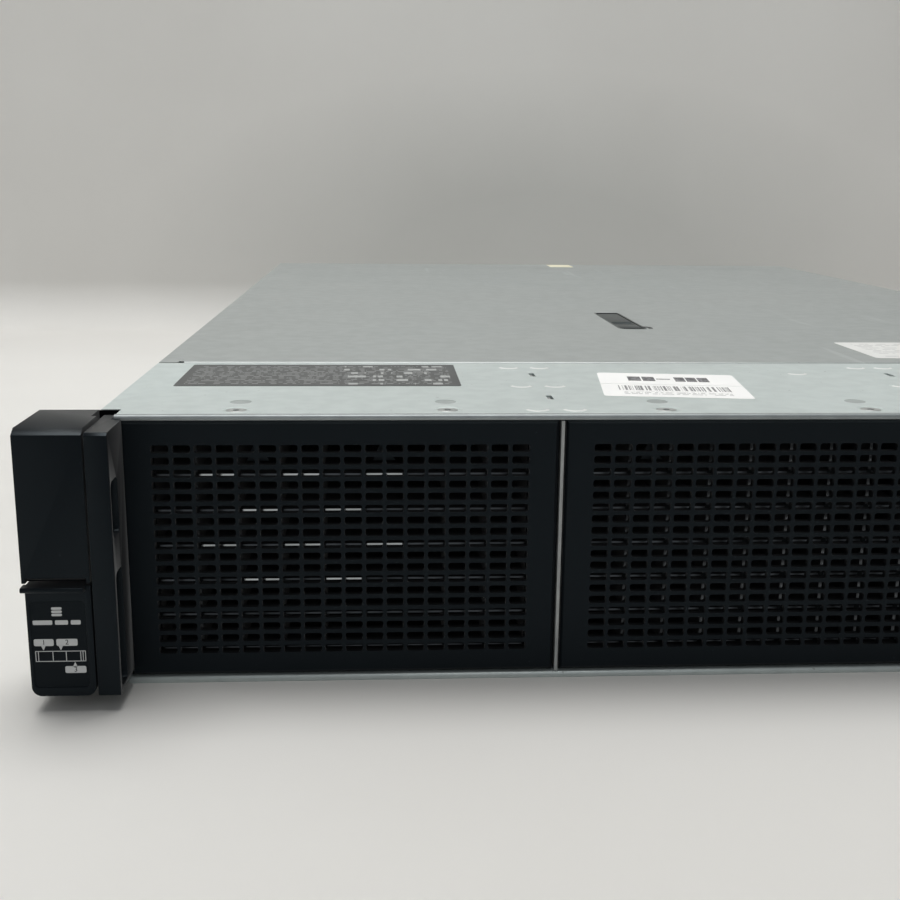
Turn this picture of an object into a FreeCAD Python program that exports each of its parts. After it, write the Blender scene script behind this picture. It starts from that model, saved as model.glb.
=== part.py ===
"""Rack server, two units high: sheet metal chassis, three drive boxes, ears, fans, board and supplies.

Millimetres, +Z up. The origin is the centre of the chassis base, on the surface it rests on.
The front faces -Y, and left and right are as seen from the front. Depths are given from the
front plane of the chassis (FRONT) or from its rear plane (REAR).
"""
import FreeCAD
import Part
import os
from math import cos, pi, radians, sin

V = FreeCAD.Vector
ALONG_X, ALONG_Y, ALONG_Z = V(1, 0, 0), V(0, 1, 0), V(0, 0, 1)

# Chassis
CHASSIS_WIDTH = 445.4
CHASSIS_HEIGHT = 87.3
CHASSIS_DEPTH = 687.0
SHEET = 1.2
HEM_HEIGHT = 1.8
HEM_DEPTH = 8.0
GAP = 0.3                       # clearance between pieces that don't bear on each other
FIT = 0.05                      # radial clearance of a pin in its bore
CORNER_NOTCH = 11.0             # depth of the cut-out in the top sheet's front corners
CORNER_NOTCH_WIDTH = 6.2
WALL_NOTCH = 15.5               # depth of the cut-out in the side walls, for the ear brackets
FRONT_TOP_DEPTH = 107.0
STUD_RADIUS = 4.0               # rail studs on the sides
STUD_LENGTH = 3.0
STUD_HEIGHT = 43.6
STUD_FRONT = 62.0               # from the front plane to the first stud
STUD_REAR = 77.0                # from the last stud to the rear plane
TAB_SLOT = 9.0                  # slots of the top sheet that take the box walls' tabs
TAB_DEPTHS = (26.7, 73.8)

# Drive boxes
BAY_EDGE = 5.8                  # from the outside of the chassis to the first box wall
BAY_WALL = 1.0
BAY_WALL_DEPTH = 130.0
PORT_STRIP_SPACE = 20.6
PANEL_MARGIN = 0.7
PANEL_RECESS = 1.0
PANEL_THICKNESS = 2.2
PANEL_TOP_GAP = 2.1
PANEL_BOTTOM_GAP = 2.5
GRILLE_COLUMNS = 18
GRILLE_ROWS = 18
GRILLE_SIDE = 8.45              # plain border at each side of the perforated field
GRILLE_TOP = 6.8
GRILLE_BOTTOM = 6.4
GRILLE_BAR_WIDE = 1.06          # upright bar between two holes
GRILLE_BAR_LOW = 1.36           # level bar between two holes
CELL_COLUMNS = 9
CELL_ROWS = 6
CELL_WALL = 0.9
CORE_DEPTH = 44.0
DRIVE_BAYS = 8
DRIVES_FITTED = 2
CAGE_WALL = 0.9
CAGE_DEPTH = 117.0
BACKPLANE_THICKNESS = 2.0
CARRIER_FRONT = 1.0             # how far a carrier stands proud of the front plane
CARRIER_FACE_DEPTH = 10.0
CARRIER_DEPTH = 111.0
CARRIER_RIM = 1.6
EJECTOR_THICKNESS = 3.9
EJECTOR_HEIGHT = 56.0
EJECTOR_PIN_RADIUS = 1.0
RELEASE_HEIGHT = 8.4
RELEASE_TRAVEL = 1.5

# Ears
EAR_OVERHANG = 18.6             # past each side wall, which makes the rack width of 482.6
EAR_FRONT = 20.0                # the ear's face, ahead of the front plane
EAR_BACK = 10.0                 # the ear's back, behind the front plane
EAR_TONGUE = 6.9                # how far the inner strip reaches into the chassis corner
EAR_TOP_GAP = 0.1
EAR_BOTTOM = 5.2
EAR_GROOVE = 0.5                # groove between the outer cap and the inner base
EAR_INNER_WIDTH = 6.7
EAR_INNER_TOP_GAP = 1.1
EAR_BEVEL = (2.7, 1.8)          # slope along the top of the cap's face, depth and height
STRIP_BEVEL = (1.0, 0.9)
SCOOP_RADIUS = 5.0              # hollow under the cap for a finger tip
SCOOP_RISE = 1.8
LEVER_TOP = 40.1
LEVER_GAP = 0.7                 # between the lever and the cap
LEVER_LIP = 1.6
LEVER_LIP_OUT = 2.2
LEVER_LIP_INSET = 1.6           # from the lip's inner end to the lever's inner side
LEVER_SKIN = 1.6
LEVER_DEPTH = 12.5
LEVER_SIDE_GAP = 0.8
LEVER_PIN_RADIUS = 1.5
LEVER_PIN_HEIGHT = 9.8
LEVER_PIN_BACK = 7.2            # from the ear's face to the lever pin
LEVER_CORNER = 3.0
FIELD_MARGIN = 1.8              # sunk label field on the lever
FIELD_HEIGHTS = (8.0, 35.4)
FIELD_CORNER = 1.5
FIELD_DEPTH = 0.4
LUG_RADIUS = 3.0
LUG_WIDTH = 3.0
BRACKET_SHEET = 1.6
BRACKET_LEG = 60.0
BEZEL_SLOT = (54.0, 71.0)       # heights of the upper recess in the ear's inner side
BEZEL_GROOVE = (7.0, 43.0)      # heights of the long lower recess
BEZEL_SLOT_DEPTH = 2.2
SCREW_RADIUS = 2.5
SCREW_NECK = 2.1                # radius where the screw passes the ear and the bracket
SCREW_THREAD_GAP = 0.5          # from the bracket to the thread
SCREW_HEAD_RADIUS = 4.6
SCREW_HEAD = 5.0
SCREW_REACH = 9.0
SCREW_HEIGHT = 24.0
POWER_RADIUS = 4.6
POWER_DROP = 11.0               # from the ear's top to the power button
LOCATOR_SIZE = (9.0, 5.0)
LOCATOR_DROP = 36.0
LENS_SIZE = (5.0, 2.2)
LENS_DROPS = (20.0, 24.5, 29.0)
BUTTON_TRAVEL = 1.0
BUTTON_DEPTH = 6.0

# Port strip beside the third drive box
USB_WIDTH = 5.9
USB_HEIGHT = 13.4
USB_CENTRES = (22.0, 42.0)
TAB_THICKNESS = 1.4
TAB_HEIGHT = 26.0
TAB_LENGTH = 62.0
TAB_BOTTOM = 54.0

# Access panel
COVER_SHEET = 1.0
COVER_SEAM = 1.5
COVER_FLANGE = 10.0
LATCH_LEFT = -17.2
LATCH_WIDTH = 15.4
LATCH_START = 217.0
LATCH_LENGTH = 77.0
LATCH_CUP_DEPTH = 11.0
LATCH_CUP_WALL = 1.0
LATCH_PIN_RADIUS = 1.5
LATCH_HANDLE = 6.0              # thickness of the handle

# Fans
FAN_COUNT = 6
FAN_SIZE = 60.0
FAN_DEPTH = 38.0
FAN_START = 170.0
FAN_WALL = 1.6
FAN_HUB_RADIUS = 15.0
FAN_BLADES = 7
BLADE_ANGLE = 32.0
BLADE_THICKNESS = 1.6
SPINDLE_REACH = 8.0             # how deep a spindle stands in its rotor
FAN_CAGE_SHEET = 1.2
FAN_ARM = 4.0                   # bridge across the outlet that carries the motor
FAN_SPINDLE = 2.0
FAN_ROTOR_RECESS = 6.0

# Board and what stands on it
BOARD_HEIGHT = 7.0
BOARD_THICKNESS = 1.8
BOARD_START = 235.0
HEATSINK_WIDTH = 78.0
HEATSINK_DEPTH = 90.0
HEATSINK_FINS = 15
HEATSINK_HEIGHT = 54.0
HEATSINK_OFFSET = 95.0
MODULE_THICKNESS = 3.2
MODULE_PITCH = 9.5
MODULE_LENGTH = 133.0
MODULE_HEIGHT = 31.0
MODULES_PER_SIDE = 4
BAFFLE_SHEET = 2.0
BAFFLE_TOP = 72.0
BAFFLE_DEPTH = 150.0

# Rear
PORT_SHELL = 0.8
PORT_DEPTH = 18.0
SUPPLY_WIDTH = 73.5
SUPPLY_DEPTH = 185.0
SUPPLY_SHELF = 1.2
SUPPLY_FAN_RADIUS = 15.5
SUPPLY_FAN_DEPTH = 16.0
SUPPLY_FAN_MARGIN = 6.0         # from the fan duct to the supply's side
SUPPLY_HANDLE_OUT = 27.0
SUPPLY_HANDLE_BAR = 5.0
SUPPLY_HANDLE_WIDTH = 3.0
HANDLE_MARGIN = 3.0             # from the inlet to the handle, and above and below the handle
INLET_MARGIN = 8.0              # from the supply's side to the inlet
INLET_WIDTH = 27.6
INLET_HEIGHT = 20.0
INLET_DEPTH = 16.0
RELEASE_TAB = 3.0               # thickness of the release tab
RELEASE_SIDE = 1.5
RELEASE_HIGH = 18.0
RELEASE_OUT = 18.0
RELEASE_EAR = 2.5
RELEASE_PIN = 0.8
SUPPLY_SPINDLE = 1.5
SUPPLY_FAN_GAP = 1.5
SUPPLY_HUB_RADIUS = 7.0
SUPPLY_BLADES = 5
RISER_WIDTH = 118.0
RISER_DEPTH = 190.0
RISER_SLOTS = 3
PORT_ROW_HEIGHT = 26.0          # height of the low strip of ports under the riser openings
SLOT_COVER = 1.0

HALF = CHASSIS_WIDTH / 2
FRONT = -CHASSIS_DEPTH / 2
REAR = CHASSIS_DEPTH / 2
TOP = CHASSIS_HEIGHT
EAR_OUTER = HALF + EAR_OVERHANG
STUD_PLACES = (FRONT + STUD_FRONT, (FRONT + STUD_FRONT + REAR - STUD_REAR) / 2, REAR - STUD_REAR)
EAR_FACE = FRONT - EAR_FRONT
INSIDE = HALF - SHEET                                  # inner face of a side wall
UNDER_TOP = TOP - SHEET                                # underside of the front top sheet
BAY_PITCH = (CHASSIS_WIDTH - 2 * BAY_EDGE - BAY_WALL - PORT_STRIP_SPACE) / 3
BAY_LEFT = [-HALF + BAY_EDGE + BAY_WALL + k * BAY_PITCH for k in range(3)]
BAY_WIDTH = BAY_PITCH - BAY_WALL
BAY_WALLS = [-HALF + BAY_EDGE + k * BAY_PITCH for k in range(4)]
PANEL_WIDTH = BAY_WIDTH - 2 * PANEL_MARGIN
PANEL_FACE = FRONT + PANEL_RECESS
PANEL_LOW = PANEL_BOTTOM_GAP
PANEL_HIGH = TOP - PANEL_TOP_GAP
CAGE_LOW = SHEET + GAP
CAGE_HIGH = UNDER_TOP - GAP
CAGE_PITCH = (BAY_WIDTH - 2 * GAP - CAGE_WALL) / DRIVE_BAYS
CARRIER_WIDTH = CAGE_PITCH - CAGE_WALL - 2 * GAP
CARRIER_FACE = FRONT - CARRIER_FRONT
CARRIER_LOW = CAGE_LOW + CAGE_WALL + GAP
CARRIER_HIGH = CAGE_HIGH - CAGE_WALL - GAP
EJECTOR_LOW = CARRIER_LOW + 4.0
EJECTOR_FACE = CARRIER_FACE + GAP
RELEASE_LOW = EJECTOR_LOW + EJECTOR_HEIGHT + 3.0
STRIP_LEFT = BAY_LEFT[2] + BAY_WIDTH + BAY_WALL + GAP
STRIP_RIGHT = HALF - BAY_EDGE - GAP
EAR_INNER = HALF - BAY_EDGE - 2.7                      # the ear's side towards the middle
EAR_JOIN = EAR_INNER + EAR_INNER_WIDTH                 # where the inner base ends
EAR_CAP_INNER = EAR_JOIN + EAR_GROOVE
EAR_TOP = TOP - EAR_TOP_GAP
LEVER_CENTRE = (EAR_OUTER + EAR_CAP_INNER) / 2
LEVER_PIN_Y = EAR_FACE + LEVER_PIN_BACK
LEVER_BACK = EAR_FACE + LEVER_DEPTH
EAR_WEB = LEVER_BACK + 1.5                             # front of the base's web behind the lever
COVER_FRONT = FRONT + FRONT_TOP_DEPTH + COVER_SEAM
COVER_UNDER = TOP - COVER_SHEET
WALL_HIGH = COVER_UNDER - GAP
LATCH_RIGHT = LATCH_LEFT + LATCH_WIDTH
LATCH_FRONT = FRONT + LATCH_START
LATCH_REAR = LATCH_FRONT + LATCH_LENGTH
LATCH_PIN_Y = LATCH_REAR - LATCH_CUP_WALL - LATCH_HANDLE / 2 - 2 * GAP
LATCH_PIN_Z = TOP - GAP - LATCH_HANDLE / 2
FAN_PITCH = 2 * INSIDE / FAN_COUNT
FAN_LOW = SHEET + FAN_CAGE_SHEET
FAN_FRONT = FRONT + FAN_START
FAN_BORE = FAN_SIZE / 2 - FAN_WALL
BOARD_TOP = BOARD_HEIGHT + BOARD_THICKNESS
PROCESSOR_Y = (FAN_FRONT + FAN_DEPTH + REAR - RISER_DEPTH) / 2      # half-way from fans to risers
SUPPLY_LEFT = -INSIDE + COVER_SHEET + SUPPLY_SHELF + 3 * GAP
SUPPLY_RIGHT = SUPPLY_LEFT + SUPPLY_WIDTH
SUPPLY_HEIGHT = (WALL_HIGH - SHEET - 3 * SUPPLY_SHELF - 4 * GAP) / 2
SUPPLY_LOW = [SHEET + SUPPLY_SHELF + GAP + k * (SUPPLY_HEIGHT + SUPPLY_SHELF + 2 * GAP) for k in range(2)]
RISER_LEFT = [SUPPLY_RIGHT + 45.0, INSIDE - 4.0 - RISER_WIDTH]
RISER_LOW = PORT_ROW_HEIGHT
RISER_HIGH = WALL_HIGH - 3.0
SLOT_PITCH = (RISER_HIGH - RISER_LOW) / RISER_SLOTS
# Each port's left side, width and height: network, two serial bus stacks, display, management.
REAR_PORTS = [(INSIDE - 30.0, 16.0, 13.5), (INSIDE - 60.0, 13.4, 14.0), (INSIDE - 82.0, 13.4, 14.0),
              (INSIDE - 125.0, 31.0, 11.5), (INSIDE - 152.0, 16.0, 13.5)]


def box(x0, x1, y0, y1, z0, z1):
    """A block between two opposite corners."""
    return Part.makeBox(x1 - x0, y1 - y0, z1 - z0, V(x0, y0, z0))


def rod(radius, start, axis, length):
    """A round bar from its start point along an axis."""
    return Part.makeCylinder(radius, length, start, axis)


def prism(points, along):
    """A closed outline of points, drawn out along a vector."""
    return Part.Face(Part.makePolygon(points + [points[0]])).extrude(along)


def joined(first, *others):
    """One solid from pieces that bear on each other, without leftover seams."""
    return first.fuse(list(others)).removeSplitter()


def mirrored(shape):
    """The same piece for the right side."""
    return shape.mirror(V(0, 0, 0), ALONG_X)


def rounded(shape, radius, picks):
    """Rounds the edges that the test picks."""
    return shape.makeFillet(radius, [edge for edge in shape.Edges if picks(edge)])


def runs_along(edge, axis):
    """Whether a straight edge is parallel to an axis."""
    return len(edge.Vertexes) == 2 and abs(abs(edge.tangentAt(edge.FirstParameter).dot(axis)) - 1) < 1e-6


def edges_at(axis, y=None, z=None):
    """A test for edges along an axis at a given depth or height."""
    def picks(edge):
        centre = edge.BoundBox.Center
        at_depth = y is None or abs(centre.y - y) < 1e-4
        at_height = z is None or abs(centre.z - z) < 1e-4
        return runs_along(edge, axis) and at_depth and at_height
    return picks


# ---------------------------------------------------------------- chassis
def corner_notches(depth):
    """The two front corner cut-outs, over the whole height."""
    inner = HALF - CORNER_NOTCH_WIDTH
    left = box(-HALF - 1, -inner, FRONT - 1, FRONT + depth, -1, TOP + 1)
    return left.fuse(mirrored(left))


def chassis_pan():
    """Folded pan: base with a front hem, two side walls and the studs that hang in the rails."""
    base = box(-HALF, HALF, FRONT, REAR, 0, SHEET)
    hem = box(-HALF, HALF, FRONT, FRONT + HEM_DEPTH, 0, HEM_HEIGHT)
    wall = box(-HALF, -INSIDE, FRONT, REAR, 0, WALL_HIGH)
    pan = joined(base, hem, wall, mirrored(wall))
    front_step = box(-HALF - 1, HALF + 1, FRONT - 1, COVER_FRONT - COVER_SEAM, UNDER_TOP, TOP)
    pan = pan.cut(front_step.fuse(corner_notches(WALL_NOTCH)))
    pan = rounded(pan, 0.8, edges_at(ALONG_X, y=FRONT, z=HEM_HEIGHT))
    studs = []
    for y in STUD_PLACES:
        start = V(-HALF + SHEET / 2, y, STUD_HEIGHT)
        stud = rod(STUD_RADIUS, start, -ALONG_X, STUD_LENGTH + SHEET / 2)
        studs += [stud, mirrored(stud)]
    return joined(pan, *studs)


def front_top():
    """Fixed sheet over the drive boxes, with a rolled front hem and slots for the box wall tabs."""
    back = FRONT + FRONT_TOP_DEPTH
    sheet = box(-HALF, HALF, FRONT, back, UNDER_TOP, TOP)
    hem = box(-HALF, HALF, FRONT, FRONT + HEM_DEPTH, TOP - HEM_HEIGHT, TOP)
    flange = box(-INSIDE, -INSIDE + SHEET, FRONT + WALL_NOTCH, back, UNDER_TOP - COVER_FLANGE, UNDER_TOP)
    top = joined(sheet, hem, flange, mirrored(flange)).cut(corner_notches(CORNER_NOTCH))
    top = rounded(top, 0.8, lambda edge: runs_along(edge, ALONG_X)
                  and abs(edge.BoundBox.YMin - FRONT) < 1e-4)
    slots = [box(x, x + BAY_WALL, FRONT + y, FRONT + y + TAB_SLOT, UNDER_TOP - 1, TOP + 1)
             for x in BAY_WALLS[1:3] for y in TAB_DEPTHS]
    return top.cut(Part.makeCompound(slots))


def bay_walls():
    """Four upright sheets that part the drive boxes; the middle two stand in slots of the top."""
    walls = []
    for k, x in enumerate(BAY_WALLS):
        wall = box(x, x + BAY_WALL, FRONT + 0.4, FRONT + BAY_WALL_DEPTH, SHEET, UNDER_TOP)
        hem_step = box(x - 1, x + BAY_WALL + 1, FRONT, FRONT + HEM_DEPTH + GAP, 0, HEM_HEIGHT + GAP)
        top_step = box(x - 1, x + BAY_WALL + 1, FRONT, FRONT + HEM_DEPTH + GAP, TOP - HEM_HEIGHT - GAP, TOP)
        wall = wall.cut(hem_step.fuse(top_step))
        if k in (1, 2):
            tabs = [box(x + 0.05, x + BAY_WALL - 0.05, FRONT + y + GAP, FRONT + y + TAB_SLOT - GAP,
                        UNDER_TOP - 1, TOP - 0.2) for y in TAB_DEPTHS]
            wall = joined(wall, *tabs)
        walls.append(wall)
    return Part.makeCompound(walls)


def rear_wall():
    """Upright sheet at the back, cut out for the supplies, the riser slots and the ports."""
    wall = box(-INSIDE, INSIDE, REAR - SHEET, REAR, SHEET, WALL_HIGH - GAP)
    cuts = [box(SUPPLY_LEFT - GAP, SUPPLY_RIGHT + GAP, REAR - 5, REAR + 5,
                SUPPLY_LOW[0] - GAP, SUPPLY_LOW[1] + SUPPLY_HEIGHT + GAP)]
    for left in RISER_LEFT:
        cuts.append(box(left + 3, left + RISER_WIDTH - 3, REAR - 5, REAR + 5, RISER_LOW, RISER_HIGH))
    for left, width, height in REAR_PORTS:
        cuts.append(box(left - GAP, left + width + GAP, REAR - 5, REAR + 5,
                        BOARD_TOP - GAP, BOARD_TOP + height + GAP))
    return wall.cut(Part.makeCompound(cuts))


def rear_ports():
    """Metal shells of the ports, standing on the board and open to the rear."""
    shells = []
    for left, width, height in REAR_PORTS:
        outer = box(left, left + width, REAR - PORT_DEPTH, REAR + 0.4, BOARD_TOP, BOARD_TOP + height)
        hollow = box(left + PORT_SHELL, left + width - PORT_SHELL, REAR - PORT_DEPTH + 2, REAR + 1,
                     BOARD_TOP + PORT_SHELL, BOARD_TOP + height - PORT_SHELL)
        shells.append(outer.cut(hollow))
    return Part.makeCompound(shells)


# ---------------------------------------------------------------- blanks with a grille
def grille(bay):
    """Moulded front of a box blank: a lattice of upright bars in front and level bars behind.

    The two layers bear on each other over the whole face, and where their slots cross they leave
    GRILLE_COLUMNS by GRILLE_ROWS oblong holes inside a plain border with a chamfered rim.
    """
    left = BAY_LEFT[bay] + PANEL_MARGIN
    right = left + PANEL_WIDTH
    column = (PANEL_WIDTH - 2 * GRILLE_SIDE) / GRILLE_COLUMNS
    row = (PANEL_HIGH - PANEL_LOW - GRILLE_TOP - GRILLE_BOTTOM) / GRILLE_ROWS
    field_low = PANEL_LOW + GRILLE_BOTTOM
    field_high = PANEL_HIGH - GRILLE_TOP
    middle = PANEL_FACE + PANEL_THICKNESS / 2
    back = PANEL_FACE + PANEL_THICKNESS
    uprights = box(left, right, PANEL_FACE, middle, PANEL_LOW, PANEL_HIGH)
    uprights = uprights.makeChamfer(0.8, [edge for edge in uprights.Edges
                                          if abs(edge.BoundBox.YMax - PANEL_FACE) < 1e-4])
    tall_slots = [box(left + GRILLE_SIDE + i * column + GRILLE_BAR_WIDE / 2,
                      left + GRILLE_SIDE + (i + 1) * column - GRILLE_BAR_WIDE / 2,
                      PANEL_FACE - 1, middle + 1, field_low + GRILLE_BAR_LOW / 2,
                      field_high - GRILLE_BAR_LOW / 2) for i in range(GRILLE_COLUMNS)]
    wide_slots = [box(left + GRILLE_SIDE + GRILLE_BAR_WIDE / 2, right - GRILLE_SIDE - GRILLE_BAR_WIDE / 2,
                      middle - 1, back + 1, field_low + j * row + GRILLE_BAR_LOW / 2,
                      field_low + (j + 1) * row - GRILLE_BAR_LOW / 2) for j in range(GRILLE_ROWS)]
    levels = box(left, right, middle, back, PANEL_LOW, PANEL_HIGH)
    return Part.makeCompound([uprights.cut(Part.makeCompound(tall_slots)),
                              levels.cut(Part.makeCompound(wide_slots))])


def grille_core(bay):
    """Cellular block behind a grille that lets air through and keeps hands and fields out."""
    left = BAY_LEFT[bay] + GAP
    right = BAY_LEFT[bay] + BAY_WIDTH - GAP
    front = PANEL_FACE + PANEL_THICKNESS
    back = front + CORE_DEPTH
    block = box(left, right, front, back, CAGE_LOW, CAGE_HIGH)
    hem_steps = [box(left - 1, right + 1, FRONT, FRONT + HEM_DEPTH + GAP, 0, HEM_HEIGHT + GAP),
                 box(left - 1, right + 1, FRONT, FRONT + HEM_DEPTH + GAP, TOP - HEM_HEIGHT - GAP, TOP)]
    field_left = BAY_LEFT[bay] + PANEL_MARGIN + GRILLE_SIDE
    column = (PANEL_WIDTH - 2 * GRILLE_SIDE) / CELL_COLUMNS
    field_low = PANEL_LOW + GRILLE_BOTTOM
    row = (PANEL_HIGH - PANEL_LOW - GRILLE_TOP - GRILLE_BOTTOM) / CELL_ROWS
    cells = []
    for i in range(CELL_COLUMNS):
        for j in range(CELL_ROWS):
            x = field_left + i * column + CELL_WALL / 2
            z = field_low + j * row + CELL_WALL / 2
            cells.append(box(x, x + column - CELL_WALL, front - 1, back + 1, z, z + row - CELL_WALL))
    return block.cut(Part.makeCompound(hem_steps + cells))


# ---------------------------------------------------------------- drive cage
def carrier_left(bay):
    """Left side of the carrier in a bay of the cage."""
    return BAY_LEFT[2] + GAP + CAGE_WALL + bay * CAGE_PITCH + GAP


def drive_cage():
    """Sheet metal cage with eight upright bays."""
    left = BAY_LEFT[2] + GAP
    block = box(left, left + BAY_WIDTH - 2 * GAP, FRONT + 0.5, FRONT + CAGE_DEPTH, CAGE_LOW, CAGE_HIGH)
    cuts = [box(left - 1, left + BAY_WIDTH, FRONT, FRONT + HEM_DEPTH + GAP, 0, HEM_HEIGHT + GAP),
            box(left - 1, left + BAY_WIDTH, FRONT, FRONT + HEM_DEPTH + GAP, TOP - HEM_HEIGHT - GAP, TOP)]
    for bay in range(DRIVE_BAYS):
        x = left + CAGE_WALL + bay * CAGE_PITCH
        cuts.append(box(x, x + CAGE_PITCH - CAGE_WALL, FRONT - 1, FRONT + CAGE_DEPTH + 1,
                        CAGE_LOW + CAGE_WALL, CAGE_HIGH - CAGE_WALL))
    return block.cut(Part.makeCompound(cuts))


def drive_backplane():
    """Board across the back of the cage with one plug for each bay."""
    left = BAY_LEFT[2] + GAP
    back = FRONT + CAGE_DEPTH
    board = box(left, left + BAY_WIDTH - 2 * GAP, back, back + BACKPLANE_THICKNESS, CAGE_LOW, CAGE_HIGH)
    plugs = [box(carrier_left(bay) + 4, carrier_left(bay) + CARRIER_WIDTH - 4,
                 CARRIER_FACE + CARRIER_DEPTH + GAP, back, 25, 60) for bay in range(DRIVE_BAYS)]
    return joined(board, *plugs)


def carrier_body(left, depth):
    """Block of a carrier from its face back, with the step behind its rim."""
    face = box(left, left + CARRIER_WIDTH, CARRIER_FACE, CARRIER_FACE + CARRIER_FACE_DEPTH,
               CARRIER_LOW, CARRIER_HIGH)
    return joined(face, box(left, left + CARRIER_WIDTH, CARRIER_FACE + CARRIER_FACE_DEPTH,
                            CARRIER_FACE + depth, CARRIER_LOW, CARRIER_HIGH - 6))


def drive(bay):
    """Drive in its carrier: a face with pockets for the ejector lever and the release button."""
    left = carrier_left(bay)
    body = carrier_body(left, CARRIER_DEPTH)
    inner = (left + CARRIER_RIM, left + CARRIER_WIDTH - CARRIER_RIM)
    lever_pocket = box(*inner, CARRIER_FACE - 1, EJECTOR_FACE + EJECTOR_THICKNESS + GAP,
                       EJECTOR_LOW - 1.0, EJECTOR_LOW + EJECTOR_HEIGHT + GAP)
    button_pocket = box(*inner, CARRIER_FACE - 1, EJECTOR_FACE + EJECTOR_THICKNESS + RELEASE_TRAVEL + GAP,
                        RELEASE_LOW - GAP, RELEASE_LOW + RELEASE_HEIGHT + GAP)
    pin_bore = rod(EJECTOR_PIN_RADIUS + FIT, V(left + GAP, *ejector_pin()), ALONG_X,
                   CARRIER_WIDTH - 2 * GAP)
    return body.cut(Part.makeCompound([lever_pocket, button_pocket])).cut(pin_bore)


def ejector_pin():
    """Depth and height of an ejector lever's pin."""
    return EJECTOR_FACE + EJECTOR_THICKNESS / 2, EJECTOR_LOW + EJECTOR_THICKNESS / 2


def ejector(bay):
    """Ejector lever: a flat bar, round at its foot, with the two pin stubs moulded on."""
    left = carrier_left(bay) + CARRIER_RIM + GAP
    width = CARRIER_WIDTH - 2 * CARRIER_RIM - 2 * GAP
    pin_y, pin_z = ejector_pin()
    bar = box(left, left + width, EJECTOR_FACE, EJECTOR_FACE + EJECTOR_THICKNESS,
              pin_z, EJECTOR_LOW + EJECTOR_HEIGHT)
    grip = box(left + 2, left + width - 2, EJECTOR_FACE - 1, EJECTOR_FACE + 1.2,
               EJECTOR_LOW + EJECTOR_HEIGHT - 12, EJECTOR_LOW + EJECTOR_HEIGHT + 1)
    foot = rod(EJECTOR_THICKNESS / 2, V(left, pin_y, pin_z), ALONG_X, width)
    reach = CARRIER_RIM - GAP
    pin = rod(EJECTOR_PIN_RADIUS, V(left - reach, pin_y, pin_z), ALONG_X, width + 2 * reach)
    return joined(bar.cut(grip), foot, pin)


def drive_release(bay):
    """Release button above an ejector lever."""
    left = carrier_left(bay) + CARRIER_RIM + GAP
    width = CARRIER_WIDTH - 2 * CARRIER_RIM - 2 * GAP
    return box(left, left + width, EJECTOR_FACE, EJECTOR_FACE + EJECTOR_THICKNESS,
               RELEASE_LOW, RELEASE_LOW + RELEASE_HEIGHT)


def drive_blanks():
    """Plain fillers for the bays that hold no drive, each with a finger pocket."""
    blanks = []
    for bay in range(DRIVES_FITTED, DRIVE_BAYS):
        left = carrier_left(bay)
        pocket = box(left + CARRIER_RIM, left + CARRIER_WIDTH - CARRIER_RIM, CARRIER_FACE - 1,
                     CARRIER_FACE + 4, EJECTOR_LOW, EJECTOR_LOW + EJECTOR_HEIGHT)
        blanks.append(carrier_body(left, CARRIER_DEPTH / 2).cut(pocket))
    return Part.makeCompound(blanks)


# ---------------------------------------------------------------- ears
def ear_base():
    """Inner half of the left ear: strip beside the boxes, web behind the lever, and its two lugs."""
    inner_top = EAR_TOP - EAR_INNER_TOP_GAP
    strip = box(-EAR_JOIN, -EAR_INNER, EAR_FACE, FRONT - GAP, EAR_BOTTOM, inner_top)
    strip = strip.cut(top_slope(-EAR_JOIN, -EAR_INNER, inner_top, STRIP_BEVEL))
    tongue = box(-EAR_JOIN, -HALF + BAY_EDGE - GAP, FRONT - GAP, FRONT + EAR_TONGUE, EAR_BOTTOM, inner_top)
    web = box(-EAR_OUTER, -EAR_INNER, EAR_WEB, FRONT - GAP, EAR_BOTTOM, LEVER_TOP)
    web_back = box(-EAR_OUTER, -HALF - GAP, EAR_WEB, FRONT + EAR_BACK, EAR_BOTTOM, LEVER_TOP)
    lugs = []
    for side in (-1, 1):
        x = -LEVER_CENTRE + side * 5.0 - LUG_WIDTH / 2
        arm = box(x, x + LUG_WIDTH, LEVER_PIN_Y, EAR_WEB + 1, LEVER_PIN_HEIGHT - LUG_RADIUS,
                  LEVER_PIN_HEIGHT + LUG_RADIUS)
        lugs += [arm, rod(LUG_RADIUS, V(x, LEVER_PIN_Y, LEVER_PIN_HEIGHT), ALONG_X, LUG_WIDTH)]
    base = joined(strip, tongue, web, web_back, *lugs)
    pin_bore = rod(LEVER_PIN_RADIUS, V(-EAR_CAP_INNER - 1, LEVER_PIN_Y, LEVER_PIN_HEIGHT), -ALONG_X, 18)
    screw_bore = rod(SCREW_RADIUS + GAP, V(-LEVER_CENTRE, EAR_WEB - 1, SCREW_HEIGHT), ALONG_Y, 40)
    recesses = [side_recess(*BEZEL_SLOT, EAR_FACE + 1.5, EAR_FACE + 10.0),
                side_recess(*BEZEL_GROOVE, EAR_FACE + 2.0, EAR_FACE + 10.0)]
    return base.cut(Part.makeCompound([pin_bore, screw_bore] + recesses))


def top_slope(x0, x1, high, size):
    """The wedge that is cut off along the top of an ear's face, by its depth and height."""
    deep, tall = size
    corners = [V(x0 - 1, EAR_FACE - 1, high + 1), V(x0 - 1, EAR_FACE - 1, high - tall),
               V(x0 - 1, EAR_FACE, high - tall), V(x0 - 1, EAR_FACE + deep, high),
               V(x0 - 1, EAR_FACE + deep, high + 1)]
    return prism(corners, ALONG_X * (x1 - x0 + 2))


def side_recess(low, high, front, back):
    """A recess with rounded ends in the side of the ear that faces the middle."""
    pocket = box(-EAR_INNER - BEZEL_SLOT_DEPTH, -EAR_INNER + 1, front, back, low, high)
    return rounded(pocket, 2.0, lambda edge: runs_along(edge, ALONG_X))


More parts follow.
